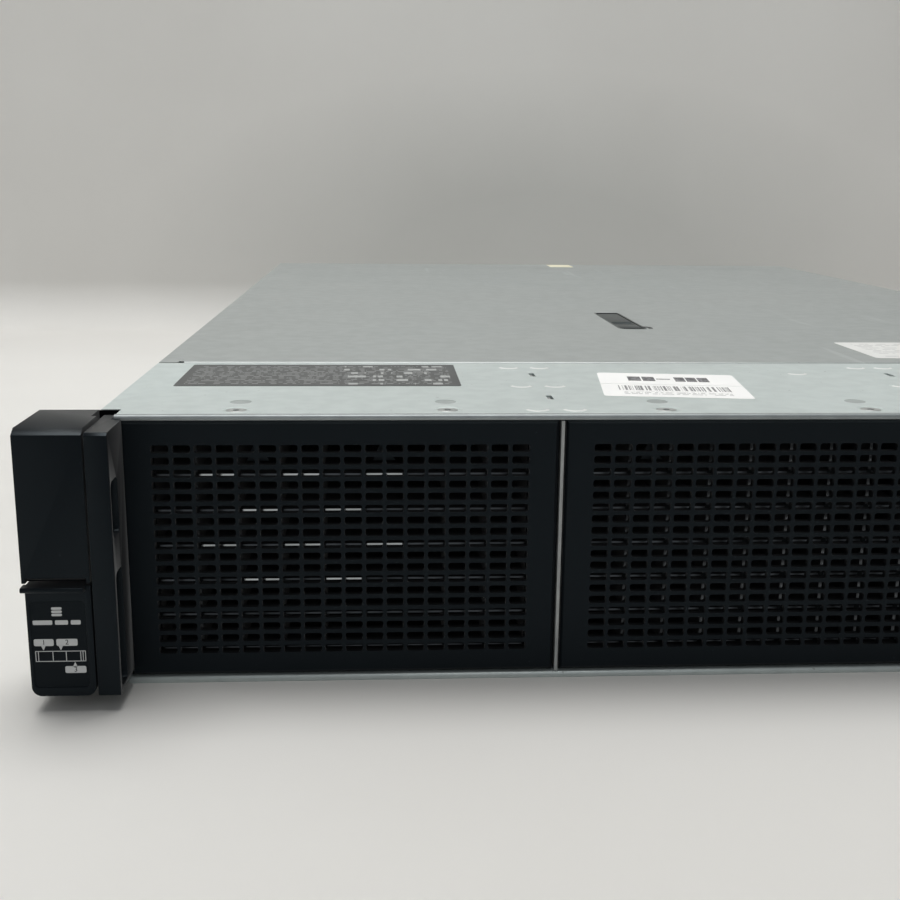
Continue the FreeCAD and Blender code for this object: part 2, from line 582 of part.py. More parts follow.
def ear_cap():
    """Outer half of the left ear: the housing above the lever, with a finger scoop at its foot."""
    low = LEVER_TOP + LEVER_GAP
    cap = box(-EAR_OUTER, -EAR_CAP_INNER, EAR_FACE, FRONT - GAP, low, EAR_TOP)
    back = box(-EAR_OUTER, -HALF - GAP, FRONT - GAP, FRONT + EAR_BACK, low, EAR_TOP)
    cap = joined(cap, back).cut(top_slope(-EAR_OUTER, -EAR_CAP_INNER, EAR_TOP, EAR_BEVEL))
    scoop = rod(SCOOP_RADIUS, V(-EAR_OUTER + 1.2, EAR_FACE - 1.5, low + SCOOP_RISE - SCOOP_RADIUS), ALONG_X,
                EAR_OUTER - EAR_CAP_INNER - 2.4)
    return cap.cut(scoop)


def lever():
    """Quick release lever: a hollow door, open to the rear, hinged at its foot, with a pull lip."""
    left = -EAR_OUTER + LEVER_SIDE_GAP
    right = -EAR_CAP_INNER
    block = box(left, right, EAR_FACE, LEVER_BACK, EAR_BOTTOM, LEVER_TOP)
    block = rounded(block, LEVER_CORNER, lambda edge: runs_along(edge, ALONG_Y)
                    and edge.BoundBox.ZMax < EAR_BOTTOM + 1e-3)
    hollow = box(left + LEVER_SKIN, right - LEVER_SKIN, EAR_FACE + LEVER_SKIN, LEVER_BACK + 1,
                 EAR_BOTTOM - 1, LEVER_TOP - LEVER_SKIN)
    heel = LEVER_BACK - LEVER_PIN_Y
    corner = box(left - 1, right + 1, LEVER_PIN_Y, LEVER_BACK + 1, EAR_BOTTOM - 1, LEVER_PIN_HEIGHT)
    corner = corner.cut(rod(heel, V(left - 2, LEVER_PIN_Y, LEVER_PIN_HEIGHT), ALONG_X, right - left + 4))
    lip = box(-EAR_OUTER, right - LEVER_LIP_INSET, EAR_FACE - LEVER_LIP_OUT, EAR_FACE + LEVER_SKIN,
              LEVER_TOP - LEVER_LIP, LEVER_TOP)
    lip = rounded(lip, 0.7, edges_at(ALONG_X, y=EAR_FACE - LEVER_LIP_OUT))
    field = box(-EAR_OUTER + FIELD_MARGIN, right - FIELD_MARGIN, EAR_FACE - 1, EAR_FACE + FIELD_DEPTH,
                *FIELD_HEIGHTS)
    field = rounded(field, FIELD_CORNER, lambda edge: runs_along(edge, ALONG_Y))
    door = joined(block.cut(Part.makeCompound([hollow, corner, field])), lip)
    bore = rod(LEVER_PIN_RADIUS + FIT, V(left - 1, LEVER_PIN_Y, LEVER_PIN_HEIGHT), ALONG_X,
               right - left + 2)
    return door.cut(bore)


def lever_pin():
    """Steel pin through the lever's sides and the two lugs."""
    left = -EAR_OUTER + LEVER_SIDE_GAP + GAP
    length = EAR_OUTER - LEVER_SIDE_GAP - EAR_CAP_INNER - 2 * GAP
    return rod(LEVER_PIN_RADIUS, V(left, LEVER_PIN_Y, LEVER_PIN_HEIGHT), ALONG_X, length)


def ear_bracket():
    """Steel angle that carries the ear: rack flange in front, leg inside the side wall."""
    low, high = EAR_BOTTOM + 1, UNDER_TOP - COVER_FLANGE - 2
    front = FRONT + EAR_BACK
    flange = box(-EAR_OUTER + 0.5, -INSIDE + BRACKET_SHEET, front, front + BRACKET_SHEET, low, high)
    leg = box(-INSIDE, -INSIDE + BRACKET_SHEET, front, front + BRACKET_LEG, low, high)
    bore = rod(SCREW_RADIUS + GAP, V(-LEVER_CENTRE, front - 1, SCREW_HEIGHT), ALONG_Y, 10)
    return joined(flange, leg).cut(bore)


def captive_screw():
    """Screw behind the lever that holds the server in the rack: head, narrow neck and thread."""
    start = V(-LEVER_CENTRE, EAR_WEB, SCREW_HEIGHT)
    thread = V(-LEVER_CENTRE, FRONT + EAR_BACK + BRACKET_SHEET + SCREW_THREAD_GAP, SCREW_HEIGHT)
    head = rod(SCREW_HEAD_RADIUS, start, -ALONG_Y, SCREW_HEAD)
    drive_socket = box(-LEVER_CENTRE - 3, -LEVER_CENTRE + 3, EAR_WEB - SCREW_HEAD - 1,
                       EAR_WEB - SCREW_HEAD + 1.2, SCREW_HEIGHT - 0.6, SCREW_HEIGHT + 0.6)
    neck = rod(SCREW_NECK, start, ALONG_Y, thread.y - start.y)
    return joined(head, neck, rod(SCREW_RADIUS, thread, ALONG_Y, SCREW_REACH)).cut(drive_socket)


def right_ear_cap():
    """Outer half of the right ear, with the openings for the buttons and the status lenses."""
    cap = mirrored(ear_cap())
    bottom = EAR_FACE + BUTTON_DEPTH + BUTTON_TRAVEL + GAP
    cuts = [rod(POWER_RADIUS + GAP, V(LEVER_CENTRE, EAR_FACE - 1, EAR_TOP - POWER_DROP), ALONG_Y,
                bottom - EAR_FACE + 1)]
    wide, high = LOCATOR_SIZE
    centre = EAR_TOP - LOCATOR_DROP
    cuts.append(box(LEVER_CENTRE - wide / 2 - GAP, LEVER_CENTRE + wide / 2 + GAP, EAR_FACE - 1, bottom,
                    centre - high / 2 - GAP, centre + high / 2 + GAP))
    for drop in LENS_DROPS:
        wide, high = LENS_SIZE
        cuts.append(box(LEVER_CENTRE - wide / 2, LEVER_CENTRE + wide / 2, EAR_FACE - 1, EAR_FACE + 3,
                        EAR_TOP - drop - high / 2, EAR_TOP - drop + high / 2))
    return cap.cut(Part.makeCompound(cuts))


def power_button():
    """Round power button."""
    start = V(LEVER_CENTRE, EAR_FACE, EAR_TOP - POWER_DROP)
    return rod(POWER_RADIUS, start, ALONG_Y, BUTTON_DEPTH)


def locator_button():
    """Flat button that lights the locator lamp."""
    wide, high = LOCATOR_SIZE
    centre = EAR_TOP - LOCATOR_DROP
    return box(LEVER_CENTRE - wide / 2, LEVER_CENTRE + wide / 2, EAR_FACE, EAR_FACE + BUTTON_DEPTH,
               centre - high / 2, centre + high / 2)


def status_lenses():
    """Ends of the light pipes that show the server's state."""
    wide, high = LENS_SIZE
    return Part.makeCompound([
        box(LEVER_CENTRE - wide / 2, LEVER_CENTRE + wide / 2, EAR_FACE + 0.2, EAR_FACE + 3,
            EAR_TOP - drop - high / 2, EAR_TOP - drop + high / 2) for drop in LENS_DROPS])


# ---------------------------------------------------------------- port strip
def port_strip():
    """Upright moulding with two serial bus ports below the slot of the pull-out tab."""
    middle = (STRIP_LEFT + EAR_INNER) / 2
    body = box(STRIP_LEFT, STRIP_RIGHT, PANEL_FACE, PANEL_FACE + TAB_LENGTH + 6, PANEL_LOW, PANEL_HIGH)
    foot = box(STRIP_LEFT, STRIP_RIGHT, FRONT + HEM_DEPTH + GAP, PANEL_FACE + TAB_LENGTH + 6,
               SHEET + GAP, PANEL_LOW)
    cuts = []
    for height in USB_CENTRES:
        cuts.append(box(middle - USB_WIDTH / 2, middle + USB_WIDTH / 2, PANEL_FACE - 1, PANEL_FACE + 14,
                        height - USB_HEIGHT / 2, height + USB_HEIGHT / 2))
    cuts.append(box(middle - TAB_THICKNESS / 2 - GAP, middle + TAB_THICKNESS / 2 + GAP, PANEL_FACE - 1,
                    PANEL_FACE + TAB_LENGTH + GAP, TAB_BOTTOM - GAP, TAB_BOTTOM + TAB_HEIGHT + GAP))
    return joined(body, foot).cut(Part.makeCompound(cuts))


def serial_tab():
    """Thin card that pulls out of its slot, with a thicker grip at its front."""
    middle = (STRIP_LEFT + EAR_INNER) / 2
    card = box(middle - TAB_THICKNESS / 2, middle + TAB_THICKNESS / 2, PANEL_FACE - 3,
               PANEL_FACE + TAB_LENGTH, TAB_BOTTOM, TAB_BOTTOM + TAB_HEIGHT)
    grip = box(middle - 2, middle + 2, PANEL_FACE - 3, PANEL_FACE - GAP, TAB_BOTTOM, TAB_BOTTOM + TAB_HEIGHT)
    return joined(card, grip)


# ---------------------------------------------------------------- access panel
def access_panel():
    """Lid of the rear part, with side flanges inside the walls and an opening for the latch."""
    sheet = box(-HALF, HALF, COVER_FRONT, REAR, COVER_UNDER, TOP)
    flange = box(-INSIDE + GAP, -INSIDE + GAP + COVER_SHEET, COVER_FRONT + 4, REAR - 30,
                 TOP - COVER_FLANGE, COVER_UNDER)
    sheet = rounded(sheet, 0.7, edges_at(ALONG_X, y=COVER_FRONT, z=TOP))
    lid = joined(sheet, flange, mirrored(flange))
    opening = box(LATCH_LEFT, LATCH_RIGHT, LATCH_FRONT, LATCH_REAR, COVER_UNDER - 1, TOP + 1)
    return lid.cut(opening)


def latch_cup():
    """Moulded tub under the lid in which the latch handle lies."""
    low = TOP - LATCH_CUP_DEPTH
    tub = box(LATCH_LEFT, LATCH_RIGHT, LATCH_FRONT, LATCH_REAR, low, TOP)
    rim = box(LATCH_LEFT - 4, LATCH_RIGHT + 4, LATCH_FRONT - 4, LATCH_REAR + 4, COVER_UNDER - 1.2,
              COVER_UNDER)
    hollow = box(LATCH_LEFT + LATCH_CUP_WALL, LATCH_RIGHT - LATCH_CUP_WALL, LATCH_FRONT + LATCH_CUP_WALL,
                 LATCH_REAR - LATCH_CUP_WALL, low + LATCH_CUP_WALL, TOP + 1)
    bore = rod(LATCH_PIN_RADIUS + FIT, V(LATCH_LEFT - 1, LATCH_PIN_Y, LATCH_PIN_Z), ALONG_X,
               LATCH_WIDTH + 2)
    return joined(tub, rim).cut(Part.makeCompound([hollow, bore]))


def latch_handle():
    """Handle that lifts at its front end, turns on its rear pin and draws the lid back."""
    left = LATCH_LEFT + LATCH_CUP_WALL + GAP
    width = LATCH_WIDTH - 2 * LATCH_CUP_WALL - 2 * GAP
    front = LATCH_FRONT + LATCH_CUP_WALL + 5.0
    low = LATCH_PIN_Z - LATCH_HANDLE / 2
    bar = box(left, left + width, front, LATCH_PIN_Y, low, low + LATCH_HANDLE)
    bar = rounded(bar, 3.0, lambda edge: runs_along(edge, ALONG_Z) and edge.BoundBox.YMax < front + 1e-3)
    heel = rod(LATCH_HANDLE / 2, V(left, LATCH_PIN_Y, LATCH_PIN_Z), ALONG_X, width)
    reach = LATCH_CUP_WALL + GAP
    pin = rod(LATCH_PIN_RADIUS, V(left - reach, LATCH_PIN_Y, LATCH_PIN_Z), ALONG_X, width + 2 * reach)
    return joined(bar, heel, pin)


# ---------------------------------------------------------------- fans
def fan_centre(fan):
    """Place of a fan's axis at its front face."""
    return V(-INSIDE + (fan + 0.5) * FAN_PITCH, FAN_FRONT, FAN_LOW + FAN_SIZE / 2)


def fan_cage():
    """Tray across the chassis with an upright sheet at each side of every fan."""
    back = FAN_FRONT + FAN_DEPTH
    tray = box(-INSIDE, INSIDE, FAN_FRONT, back, SHEET, FAN_LOW)
    sheets = []
    for k in range(FAN_COUNT + 1):
        x = -INSIDE + k * FAN_PITCH - FAN_CAGE_SHEET / 2
        x = min(max(x, -INSIDE), INSIDE - FAN_CAGE_SHEET)
        sheets.append(box(x, x + FAN_CAGE_SHEET, FAN_FRONT, back, SHEET, FAN_LOW + FAN_SIZE))
    return joined(tray, *sheets)


def fan_frames():
    """Square fan housings with a round duct and the spindle on a bridge across the outlet."""
    frames = []
    for fan in range(FAN_COUNT):
        centre = fan_centre(fan)
        half = FAN_SIZE / 2
        frame = box(centre.x - half, centre.x + half, FAN_FRONT, FAN_FRONT + FAN_DEPTH, FAN_LOW,
                    FAN_LOW + FAN_SIZE)
        frame = frame.cut(rod(FAN_BORE, centre - ALONG_Y, ALONG_Y, FAN_DEPTH + 2))
        plate_y = FAN_FRONT + FAN_DEPTH - FAN_ARM
        bridge = box(centre.x - FAN_ARM / 2, centre.x + FAN_ARM / 2, plate_y, plate_y + FAN_ARM,
                     FAN_LOW + 1, FAN_LOW + FAN_SIZE - 1)
        spindle = rod(FAN_SPINDLE, V(centre.x, plate_y - SPINDLE_REACH, centre.z), ALONG_Y,
                      SPINDLE_REACH + 1)
        frames.append(joined(frame, bridge, spindle))
    return Part.makeCompound(frames)


def rotor(centre, radius, hub, depth, blades, spindle):
    """Impeller: a hub with two flats for each blade, flat blades set at an angle, and a blind bore."""
    corners = [V(hub * cos(pi * (k + 0.5) / blades), 0, hub * sin(pi * (k + 0.5) / blades))
               for k in range(2 * blades)]
    core = prism(corners, ALONG_Y * depth)
    core.translate(centre)
    pitch = radians(BLADE_ANGLE)
    half_chord = min(depth * 0.42 / cos(pitch), hub * 0.2 / sin(pitch))
    blade = box(-BLADE_THICKNESS / 2, BLADE_THICKNESS / 2, -half_chord, half_chord, hub * 0.9, radius)
    blade.rotate(V(0, 0, 0), ALONG_Z, BLADE_ANGLE)
    wings = []
    for k in range(blades):
        wing = blade.copy()
        wing.rotate(V(0, 0, 0), ALONG_Y, 360.0 * k / blades)
        wing.translate(centre + ALONG_Y * depth / 2)
        wings.append(wing)
    bore = rod(spindle + FIT, centre + ALONG_Y * (depth - SPINDLE_REACH), ALONG_Y, SPINDLE_REACH + 1)
    return joined(core, *wings).cut(bore)


def fan_rotor(fan):
    """Rotor of one chassis fan."""
    depth = FAN_DEPTH - FAN_ARM - GAP - FAN_ROTOR_RECESS
    centre = fan_centre(fan) + ALONG_Y * FAN_ROTOR_RECESS
    return rotor(centre, FAN_BORE - 1.0, FAN_HUB_RADIUS, depth, FAN_BLADES, FAN_SPINDLE)


# ---------------------------------------------------------------- board
def system_board():
    """Board on low posts that stand on the base."""
    right, back = INSIDE - 2.0, REAR - SHEET - 1.0
    left = SUPPLY_RIGHT + SUPPLY_SHELF + 3.0
    rear_half = box(left, right, REAR - SUPPLY_DEPTH - 15, back, BOARD_HEIGHT, BOARD_TOP)
    front_half = box(-right, right, FRONT + BOARD_START, REAR - SUPPLY_DEPTH - 15, BOARD_HEIGHT, BOARD_TOP)
    posts = [box(x - 3, x + 3, y - 3, y + 3, SHEET, BOARD_HEIGHT)
             for x in (left + 10, right - 10) for y in (FRONT + BOARD_START + 10, back - 10)]
    return joined(rear_half, front_half, *posts)


def heatsinks():
    """Two extruded heatsinks, a base with upright fins along the air flow."""
    sinks = []
    for side in (-1, 1):
        left = side * HEATSINK_OFFSET - HEATSINK_WIDTH / 2
        front = PROCESSOR_Y - HEATSINK_DEPTH / 2
        pitch = (HEATSINK_WIDTH - 1.2) / (HEATSINK_FINS - 1)
        outline = [V(left, front, BOARD_TOP), V(left, front, BOARD_TOP + HEATSINK_HEIGHT)]
        for k in range(HEATSINK_FINS - 1):
            x = left + k * pitch
            outline += [V(x + 1.2, front, BOARD_TOP + HEATSINK_HEIGHT), V(x + 1.2, front, BOARD_TOP + 8),
                        V(x + pitch, front, BOARD_TOP + 8), V(x + pitch, front, BOARD_TOP + HEATSINK_HEIGHT)]
        outline += [V(left + HEATSINK_WIDTH, front, BOARD_TOP + HEATSINK_HEIGHT),
                    V(left + HEATSINK_WIDTH, front, BOARD_TOP)]
        sinks.append(prism(outline, ALONG_Y * HEATSINK_DEPTH))
    return Part.makeCompound(sinks)


def memory_modules():
    """Upright memory modules at both sides of each heatsink."""
    modules = []
    front = PROCESSOR_Y - MODULE_LENGTH / 2
    for side in (-1, 1):
        for bank in (-1, 1):
            for k in range(MODULES_PER_SIDE):
                x = side * HEATSINK_OFFSET + bank * (HEATSINK_WIDTH / 2 + 6 + k * MODULE_PITCH)
                modules.append(box(x - MODULE_THICKNESS / 2, x + MODULE_THICKNESS / 2, front,
                                   front + MODULE_LENGTH, BOARD_TOP, BOARD_TOP + MODULE_HEIGHT))
    return Part.makeCompound(modules)


def air_baffle():
    """Hood that keeps the air of the fans on the heatsinks, standing on the board."""
    front, back = PROCESSOR_Y - BAFFLE_DEPTH / 2, PROCESSOR_Y + BAFFLE_DEPTH / 2
    side = HEATSINK_OFFSET + HEATSINK_WIDTH / 2 + 6 + MODULES_PER_SIDE * MODULE_PITCH
    outer = box(-side, side, front, back, BOARD_TOP, BAFFLE_TOP)
    hollow = box(-side + BAFFLE_SHEET, side - BAFFLE_SHEET, front - 1, back + 1, BOARD_TOP - 1,
                 BAFFLE_TOP - BAFFLE_SHEET)
    return outer.cut(hollow)


def riser_cages():
    """Sheet metal frames that hold the option cards level above the board."""
    cages = []
    for left in RISER_LEFT:
        front = REAR - RISER_DEPTH
        back = REAR - SHEET - SLOT_COVER - GAP
        outer = box(left, left + RISER_WIDTH, front, back, RISER_LOW - 3, WALL_HIGH - 2)
        hollow = box(left + SHEET, left + RISER_WIDTH - SHEET, front - 1, back + 1, RISER_LOW - 4,
                     WALL_HIGH - 2 - SHEET)
        foot = box(left, left + SHEET, front, front + 20, BOARD_TOP, RISER_LOW)
        other = box(left + RISER_WIDTH - SHEET, left + RISER_WIDTH, front, front + 20, BOARD_TOP, RISER_LOW)
        cages.append(joined(outer.cut(hollow), foot, other))
    return Part.makeCompound(cages)


def slot_covers():
    """Plates that close the unused card slots from the inside of the rear wall."""
    covers = []
    for left in RISER_LEFT:
        for k in range(RISER_SLOTS):
            low = RISER_LOW - 1 + k * SLOT_PITCH
            covers.append(box(left + 1, left + RISER_WIDTH - 1, REAR - SHEET - SLOT_COVER, REAR - SHEET,
                              low, low + SLOT_PITCH - GAP))
    return Part.makeCompound(covers)


# ---------------------------------------------------------------- power supplies
def supply_cage():
    """Folded cage with a shelf between the two power supplies."""
    left, right = SUPPLY_LEFT - GAP - SUPPLY_SHELF, SUPPLY_RIGHT + GAP + SUPPLY_SHELF
    front, back = REAR - SUPPLY_DEPTH - GAP, REAR - SHEET
    block = box(left, right, front, back, SHEET, SUPPLY_LOW[1] + SUPPLY_HEIGHT + GAP + SUPPLY_SHELF)
    bays = [box(SUPPLY_LEFT - GAP, SUPPLY_RIGHT + GAP, front - 1, back + 1, low - GAP,
                low + SUPPLY_HEIGHT + GAP) for low in SUPPLY_LOW]
    return block.cut(Part.makeCompound(bays))


def supply_middle(unit):
    """Height of the middle of a supply."""
    return SUPPLY_LOW[unit] + SUPPLY_HEIGHT / 2


def supply_fan_centre(unit):
    """Place of a supply fan's axis at the rear face."""
    return V(SUPPLY_RIGHT - SUPPLY_FAN_MARGIN - SUPPLY_FAN_RADIUS, REAR, supply_middle(unit))


def supply(unit):
    """Hot-plug power supply: case, fan duct, power inlet and the loop handle."""
    low = SUPPLY_LOW[unit]
    case = box(SUPPLY_LEFT, SUPPLY_RIGHT, REAR - SUPPLY_DEPTH, REAR, low, low + SUPPLY_HEIGHT)
    fan = supply_fan_centre(unit)
    duct = rod(SUPPLY_FAN_RADIUS, fan - ALONG_Y * SUPPLY_FAN_DEPTH, ALONG_Y, SUPPLY_FAN_DEPTH + 1)
    spindle = rod(SUPPLY_SPINDLE, fan - ALONG_Y * (SUPPLY_FAN_DEPTH + 1), ALONG_Y, SPINDLE_REACH)
    inlet_left = SUPPLY_LEFT + INLET_MARGIN
    middle = supply_middle(unit)
    inlet = box(inlet_left, inlet_left + INLET_WIDTH, REAR - INLET_DEPTH, REAR + 1,
                middle - INLET_HEIGHT / 2, middle + INLET_HEIGHT / 2)
    prongs = [box(inlet_left + INLET_WIDTH / 2 + x - 1, inlet_left + INLET_WIDTH / 2 + x + 1,
                  REAR - INLET_DEPTH - 1, REAR - 3, middle + z - 3, middle + z + 3)
              for x, z in ((-7, -1.5), (0, 3.0), (7, -1.5))]
    return joined(case.cut(duct.fuse(inlet)), spindle, *prongs, supply_handle(unit), *release_ears(unit))


def supply_handle(unit):
    """Loop that stands out behind the supply between the inlet and the fan."""
    middle = supply_middle(unit)
    x = SUPPLY_LEFT + INLET_MARGIN + INLET_WIDTH + HANDLE_MARGIN
    high = SUPPLY_HEIGHT / 2 - HANDLE_MARGIN
    outer = box(x, x + SUPPLY_HANDLE_WIDTH, REAR - 1, REAR + SUPPLY_HANDLE_OUT, middle - high, middle + high)
    outer = rounded(outer, 6.0, lambda edge: runs_along(edge, ALONG_X)
                    and edge.BoundBox.YMin > REAR + SUPPLY_HANDLE_OUT - 1e-3)
    hole = box(x - 1, x + SUPPLY_HANDLE_WIDTH + 1, REAR, REAR + SUPPLY_HANDLE_OUT - SUPPLY_HANDLE_BAR,
               middle - high + SUPPLY_HANDLE_BAR, middle + high - SUPPLY_HANDLE_BAR)
    return outer.cut(hole)


def release_pin(unit):
    """Place of the release tab's pin, at half its height."""
    return V(SUPPLY_LEFT + RELEASE_SIDE + RELEASE_TAB / 2, REAR + RELEASE_TAB / 2 + 2 * GAP, supply_middle(unit))


def supply_release(unit):
    """Spring tab that is pressed towards the handle to free the supply, on an upright pin."""
    pin = release_pin(unit)
    half = RELEASE_HIGH / 2
    foot = rod(RELEASE_TAB / 2, pin - ALONG_Z * half, ALONG_Z, RELEASE_HIGH)
    blade = box(pin.x - RELEASE_TAB / 2, pin.x + RELEASE_TAB / 2, pin.y, pin.y + RELEASE_OUT,
                pin.z - half, pin.z + half)
    bore = rod(RELEASE_PIN + FIT, pin - ALONG_Z * (half + 1), ALONG_Z, RELEASE_HIGH + 2)
    return joined(foot, blade).cut(bore)


def release_ears(unit):
    """Two ears on a supply and the pin between them that carries the release tab."""
    pin = release_pin(unit)
    ears = []
    for side in (-1, 1):
        low = pin.z + side * (RELEASE_HIGH / 2 + GAP + RELEASE_EAR / 2) - RELEASE_EAR / 2
        ears.append(box(pin.x - RELEASE_TAB / 2, pin.x + RELEASE_TAB / 2, REAR - 1, pin.y + RELEASE_TAB / 2,
                        low, low + RELEASE_EAR))
    reach = RELEASE_HIGH / 2 + GAP + RELEASE_EAR / 2
    return ears + [rod(RELEASE_PIN, pin - ALONG_Z * reach, ALONG_Z, 2 * reach)]


def supply_rotor(unit):
    """Rotor of a supply's own fan."""
    depth = SUPPLY_FAN_DEPTH - 2 * SUPPLY_FAN_GAP
    fan = supply_fan_centre(unit)
    face = fan - ALONG_Y * SUPPLY_FAN_GAP
    shape = rotor(V(0, 0, 0), SUPPLY_FAN_RADIUS - 0.8, SUPPLY_HUB_RADIUS, depth, SUPPLY_BLADES, SUPPLY_SPINDLE)
    shape.rotate(V(0, 0, 0), ALONG_Z, 180)
    shape.translate(face)
    return shape


def pieces():
    """Every piece by the name of its file."""
    yield "chassis_pan", chassis_pan()
    yield "rear_wall", rear_wall()
    yield "front_top", front_top()
    yield "bay_walls", bay_walls()
    for bay, place in enumerate(("left", "middle")):
        yield f"{place}_grille", grille(bay)
        yield f"{place}_grille_core", grille_core(bay)
    yield "drive_cage", drive_cage()
    yield "drive_backplane", drive_backplane()
    yield "drive_blanks", drive_blanks()
    for bay in range(DRIVES_FITTED):
        yield f"drive_{bay + 1}", drive(bay)
        yield f"drive_{bay + 1}_ejector", ejector(bay)
        yield f"drive_{bay + 1}_release", drive_release(bay)
    for name, shape in (("ear_base", ear_base()), ("ear_bracket", ear_bracket()), ("lever", lever()),
                        ("lever_pin", lever_pin()), ("captive_screw", captive_screw())):
        yield f"left_{name}", shape
        yield f"right_{name}", mirrored(shape)
    yield "left_ear_cap", ear_cap()
    yield "right_ear_cap", right_ear_cap()
    yield "power_button", power_button()
    yield "locator_button", locator_button()
    yield "status_lenses", status_lenses()
    yield "port_strip", port_strip()
    yield "serial_tab", serial_tab()
    yield "access_panel", access_panel()
    yield "latch_cup", latch_cup()
    yield "latch_handle", latch_handle()
    yield "fan_cage", fan_cage()
    yield "fan_frames", fan_frames()
    for fan in range(FAN_COUNT):
        yield f"fan_{fan + 1}_rotor", fan_rotor(fan)
    yield "system_board", system_board()
    yield "heatsinks", heatsinks()
    yield "memory_modules", memory_modules()
    yield "air_baffle", air_baffle()
    yield "riser_cages", riser_cages()
    yield "slot_covers", slot_covers()
    yield "rear_ports", rear_ports()
    yield "supply_cage", supply_cage()
    for unit in range(2):
        yield f"supply_{unit + 1}", supply(unit)
        yield f"supply_{unit + 1}_release", supply_release(unit)
        yield f"supply_{unit + 1}_rotor", supply_rotor(unit)


os.makedirs("parts", exist_ok=True)
for name, shape in pieces():
    shape.exportStep(f"parts/{name}.step")
    print(name, shape.ShapeType, len(shape.Solids), shape.isValid(), round(shape.Volume))
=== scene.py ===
from math import cos, pi, radians, sin

import bmesh
import bpy
from mathutils import Matrix, Vector


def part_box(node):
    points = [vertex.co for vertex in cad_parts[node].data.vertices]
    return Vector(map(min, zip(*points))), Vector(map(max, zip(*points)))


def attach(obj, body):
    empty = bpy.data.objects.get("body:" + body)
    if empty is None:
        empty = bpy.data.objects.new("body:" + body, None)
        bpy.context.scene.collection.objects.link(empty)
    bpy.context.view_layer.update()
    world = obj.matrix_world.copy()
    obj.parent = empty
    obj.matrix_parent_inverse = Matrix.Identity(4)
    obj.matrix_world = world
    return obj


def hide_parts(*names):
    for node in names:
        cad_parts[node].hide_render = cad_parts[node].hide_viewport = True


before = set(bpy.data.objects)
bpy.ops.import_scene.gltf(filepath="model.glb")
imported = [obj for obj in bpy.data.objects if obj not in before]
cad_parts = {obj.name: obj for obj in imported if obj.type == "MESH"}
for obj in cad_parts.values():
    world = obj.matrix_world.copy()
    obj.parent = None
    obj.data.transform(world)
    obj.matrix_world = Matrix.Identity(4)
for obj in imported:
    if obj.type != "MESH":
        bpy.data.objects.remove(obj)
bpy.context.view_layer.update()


# ---- Stage
# The server stands on a wide sweep of pale paper that curves up into a wall close behind it; a painted
# shadow greys the wall behind the server. From behind the paper can be seen through. A broad soft lamp
# hangs over the server, a weak one stands in front, and the room adds a little light.
MM = 0.001
front_low, front_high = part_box("front_top")
FRONT = front_low.y
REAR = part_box("chassis_pan")[1].y
TOP = front_high.z
HALF = front_high.x
CAMERA_AT = (-0.13558, FRONT - 0.35134, 0.1568)
CAMERA_TURN = 3.468
CAMERA_DIP = 12.899
CAMERA_ROLL = 0.573
CAMERA_LENS = 46.58
SWEEP_WIDE = 7.0
SWEEP_NEAR = -3.0
SWEEP_BEND = 0.05
WALL_AT = REAR + 0.26
WALL_HIGH = 3.0


def linked(name, data):
    """A new object in the scene."""
    thing = bpy.data.objects.new(name, data)
    bpy.context.scene.collection.objects.link(thing)
    return thing


def made(name, bm, *materials):
    """An object from a finished bmesh, with its materials in order."""
    mesh = bpy.data.meshes.new(name)
    bm.to_mesh(mesh)
    bm.free()
    for material in materials:
        mesh.materials.append(material)
    return linked(name, mesh)


def new_material(name):
    """A material with its node tree and its Principled shader."""
    material = bpy.data.materials.new(name)
    material.use_nodes = True
    tree = material.node_tree
    return material, tree, tree.nodes["Principled BSDF"]


def noise(tree, scale, detail=3.0, stretch=None):
    """Noise on Object coordinates, drawn out along an axis by a stretch."""
    place = tree.nodes.new("ShaderNodeTexCoord")
    texture = tree.nodes.new("ShaderNodeTexNoise")
    if isinstance(scale, (int, float)):
        texture.inputs["Scale"].default_value = scale
    else:
        tree.links.new(scale, texture.inputs["Scale"])
    texture.inputs["Detail"].default_value = detail
    socket = place.outputs["Object"]
    if stretch:
        mapping = tree.nodes.new("ShaderNodeMapping")
        mapping.inputs["Scale"].default_value = stretch
        tree.links.new(socket, mapping.inputs["Vector"])
        socket = mapping.outputs["Vector"]
    tree.links.new(socket, texture.inputs["Vector"])
    return texture.outputs[0]


def ramp(tree, factor, *stops):
    """A colour ramp from a factor; each stop is a place and a grey level or a colour."""
    node = tree.nodes.new("ShaderNodeValToRGB")
    parts = node.color_ramp.elements
    while len(parts) < len(stops):
        parts.new(0.5)
    for part, (place, colour) in zip(parts, stops):
        part.position = place
        part.color = (*colour, 1.0) if isinstance(colour, tuple) else (colour, colour, colour, 1.0)
    tree.links.new(factor, node.inputs["Fac"])
    return node.outputs["Color"]


def soft_lamp(name, power, size, place, target, colour):
    """A square area lamp aimed at a point."""
    data = bpy.data.lights.new(name, "AREA")
    data.energy = power
    data.size = size
    data.color = colour
    lamp = linked(name, data)
    lamp.location = place
    lamp.rotation_euler = (Vector(target) - Vector(place)).to_track_quat("-Z", "Y").to_euler()


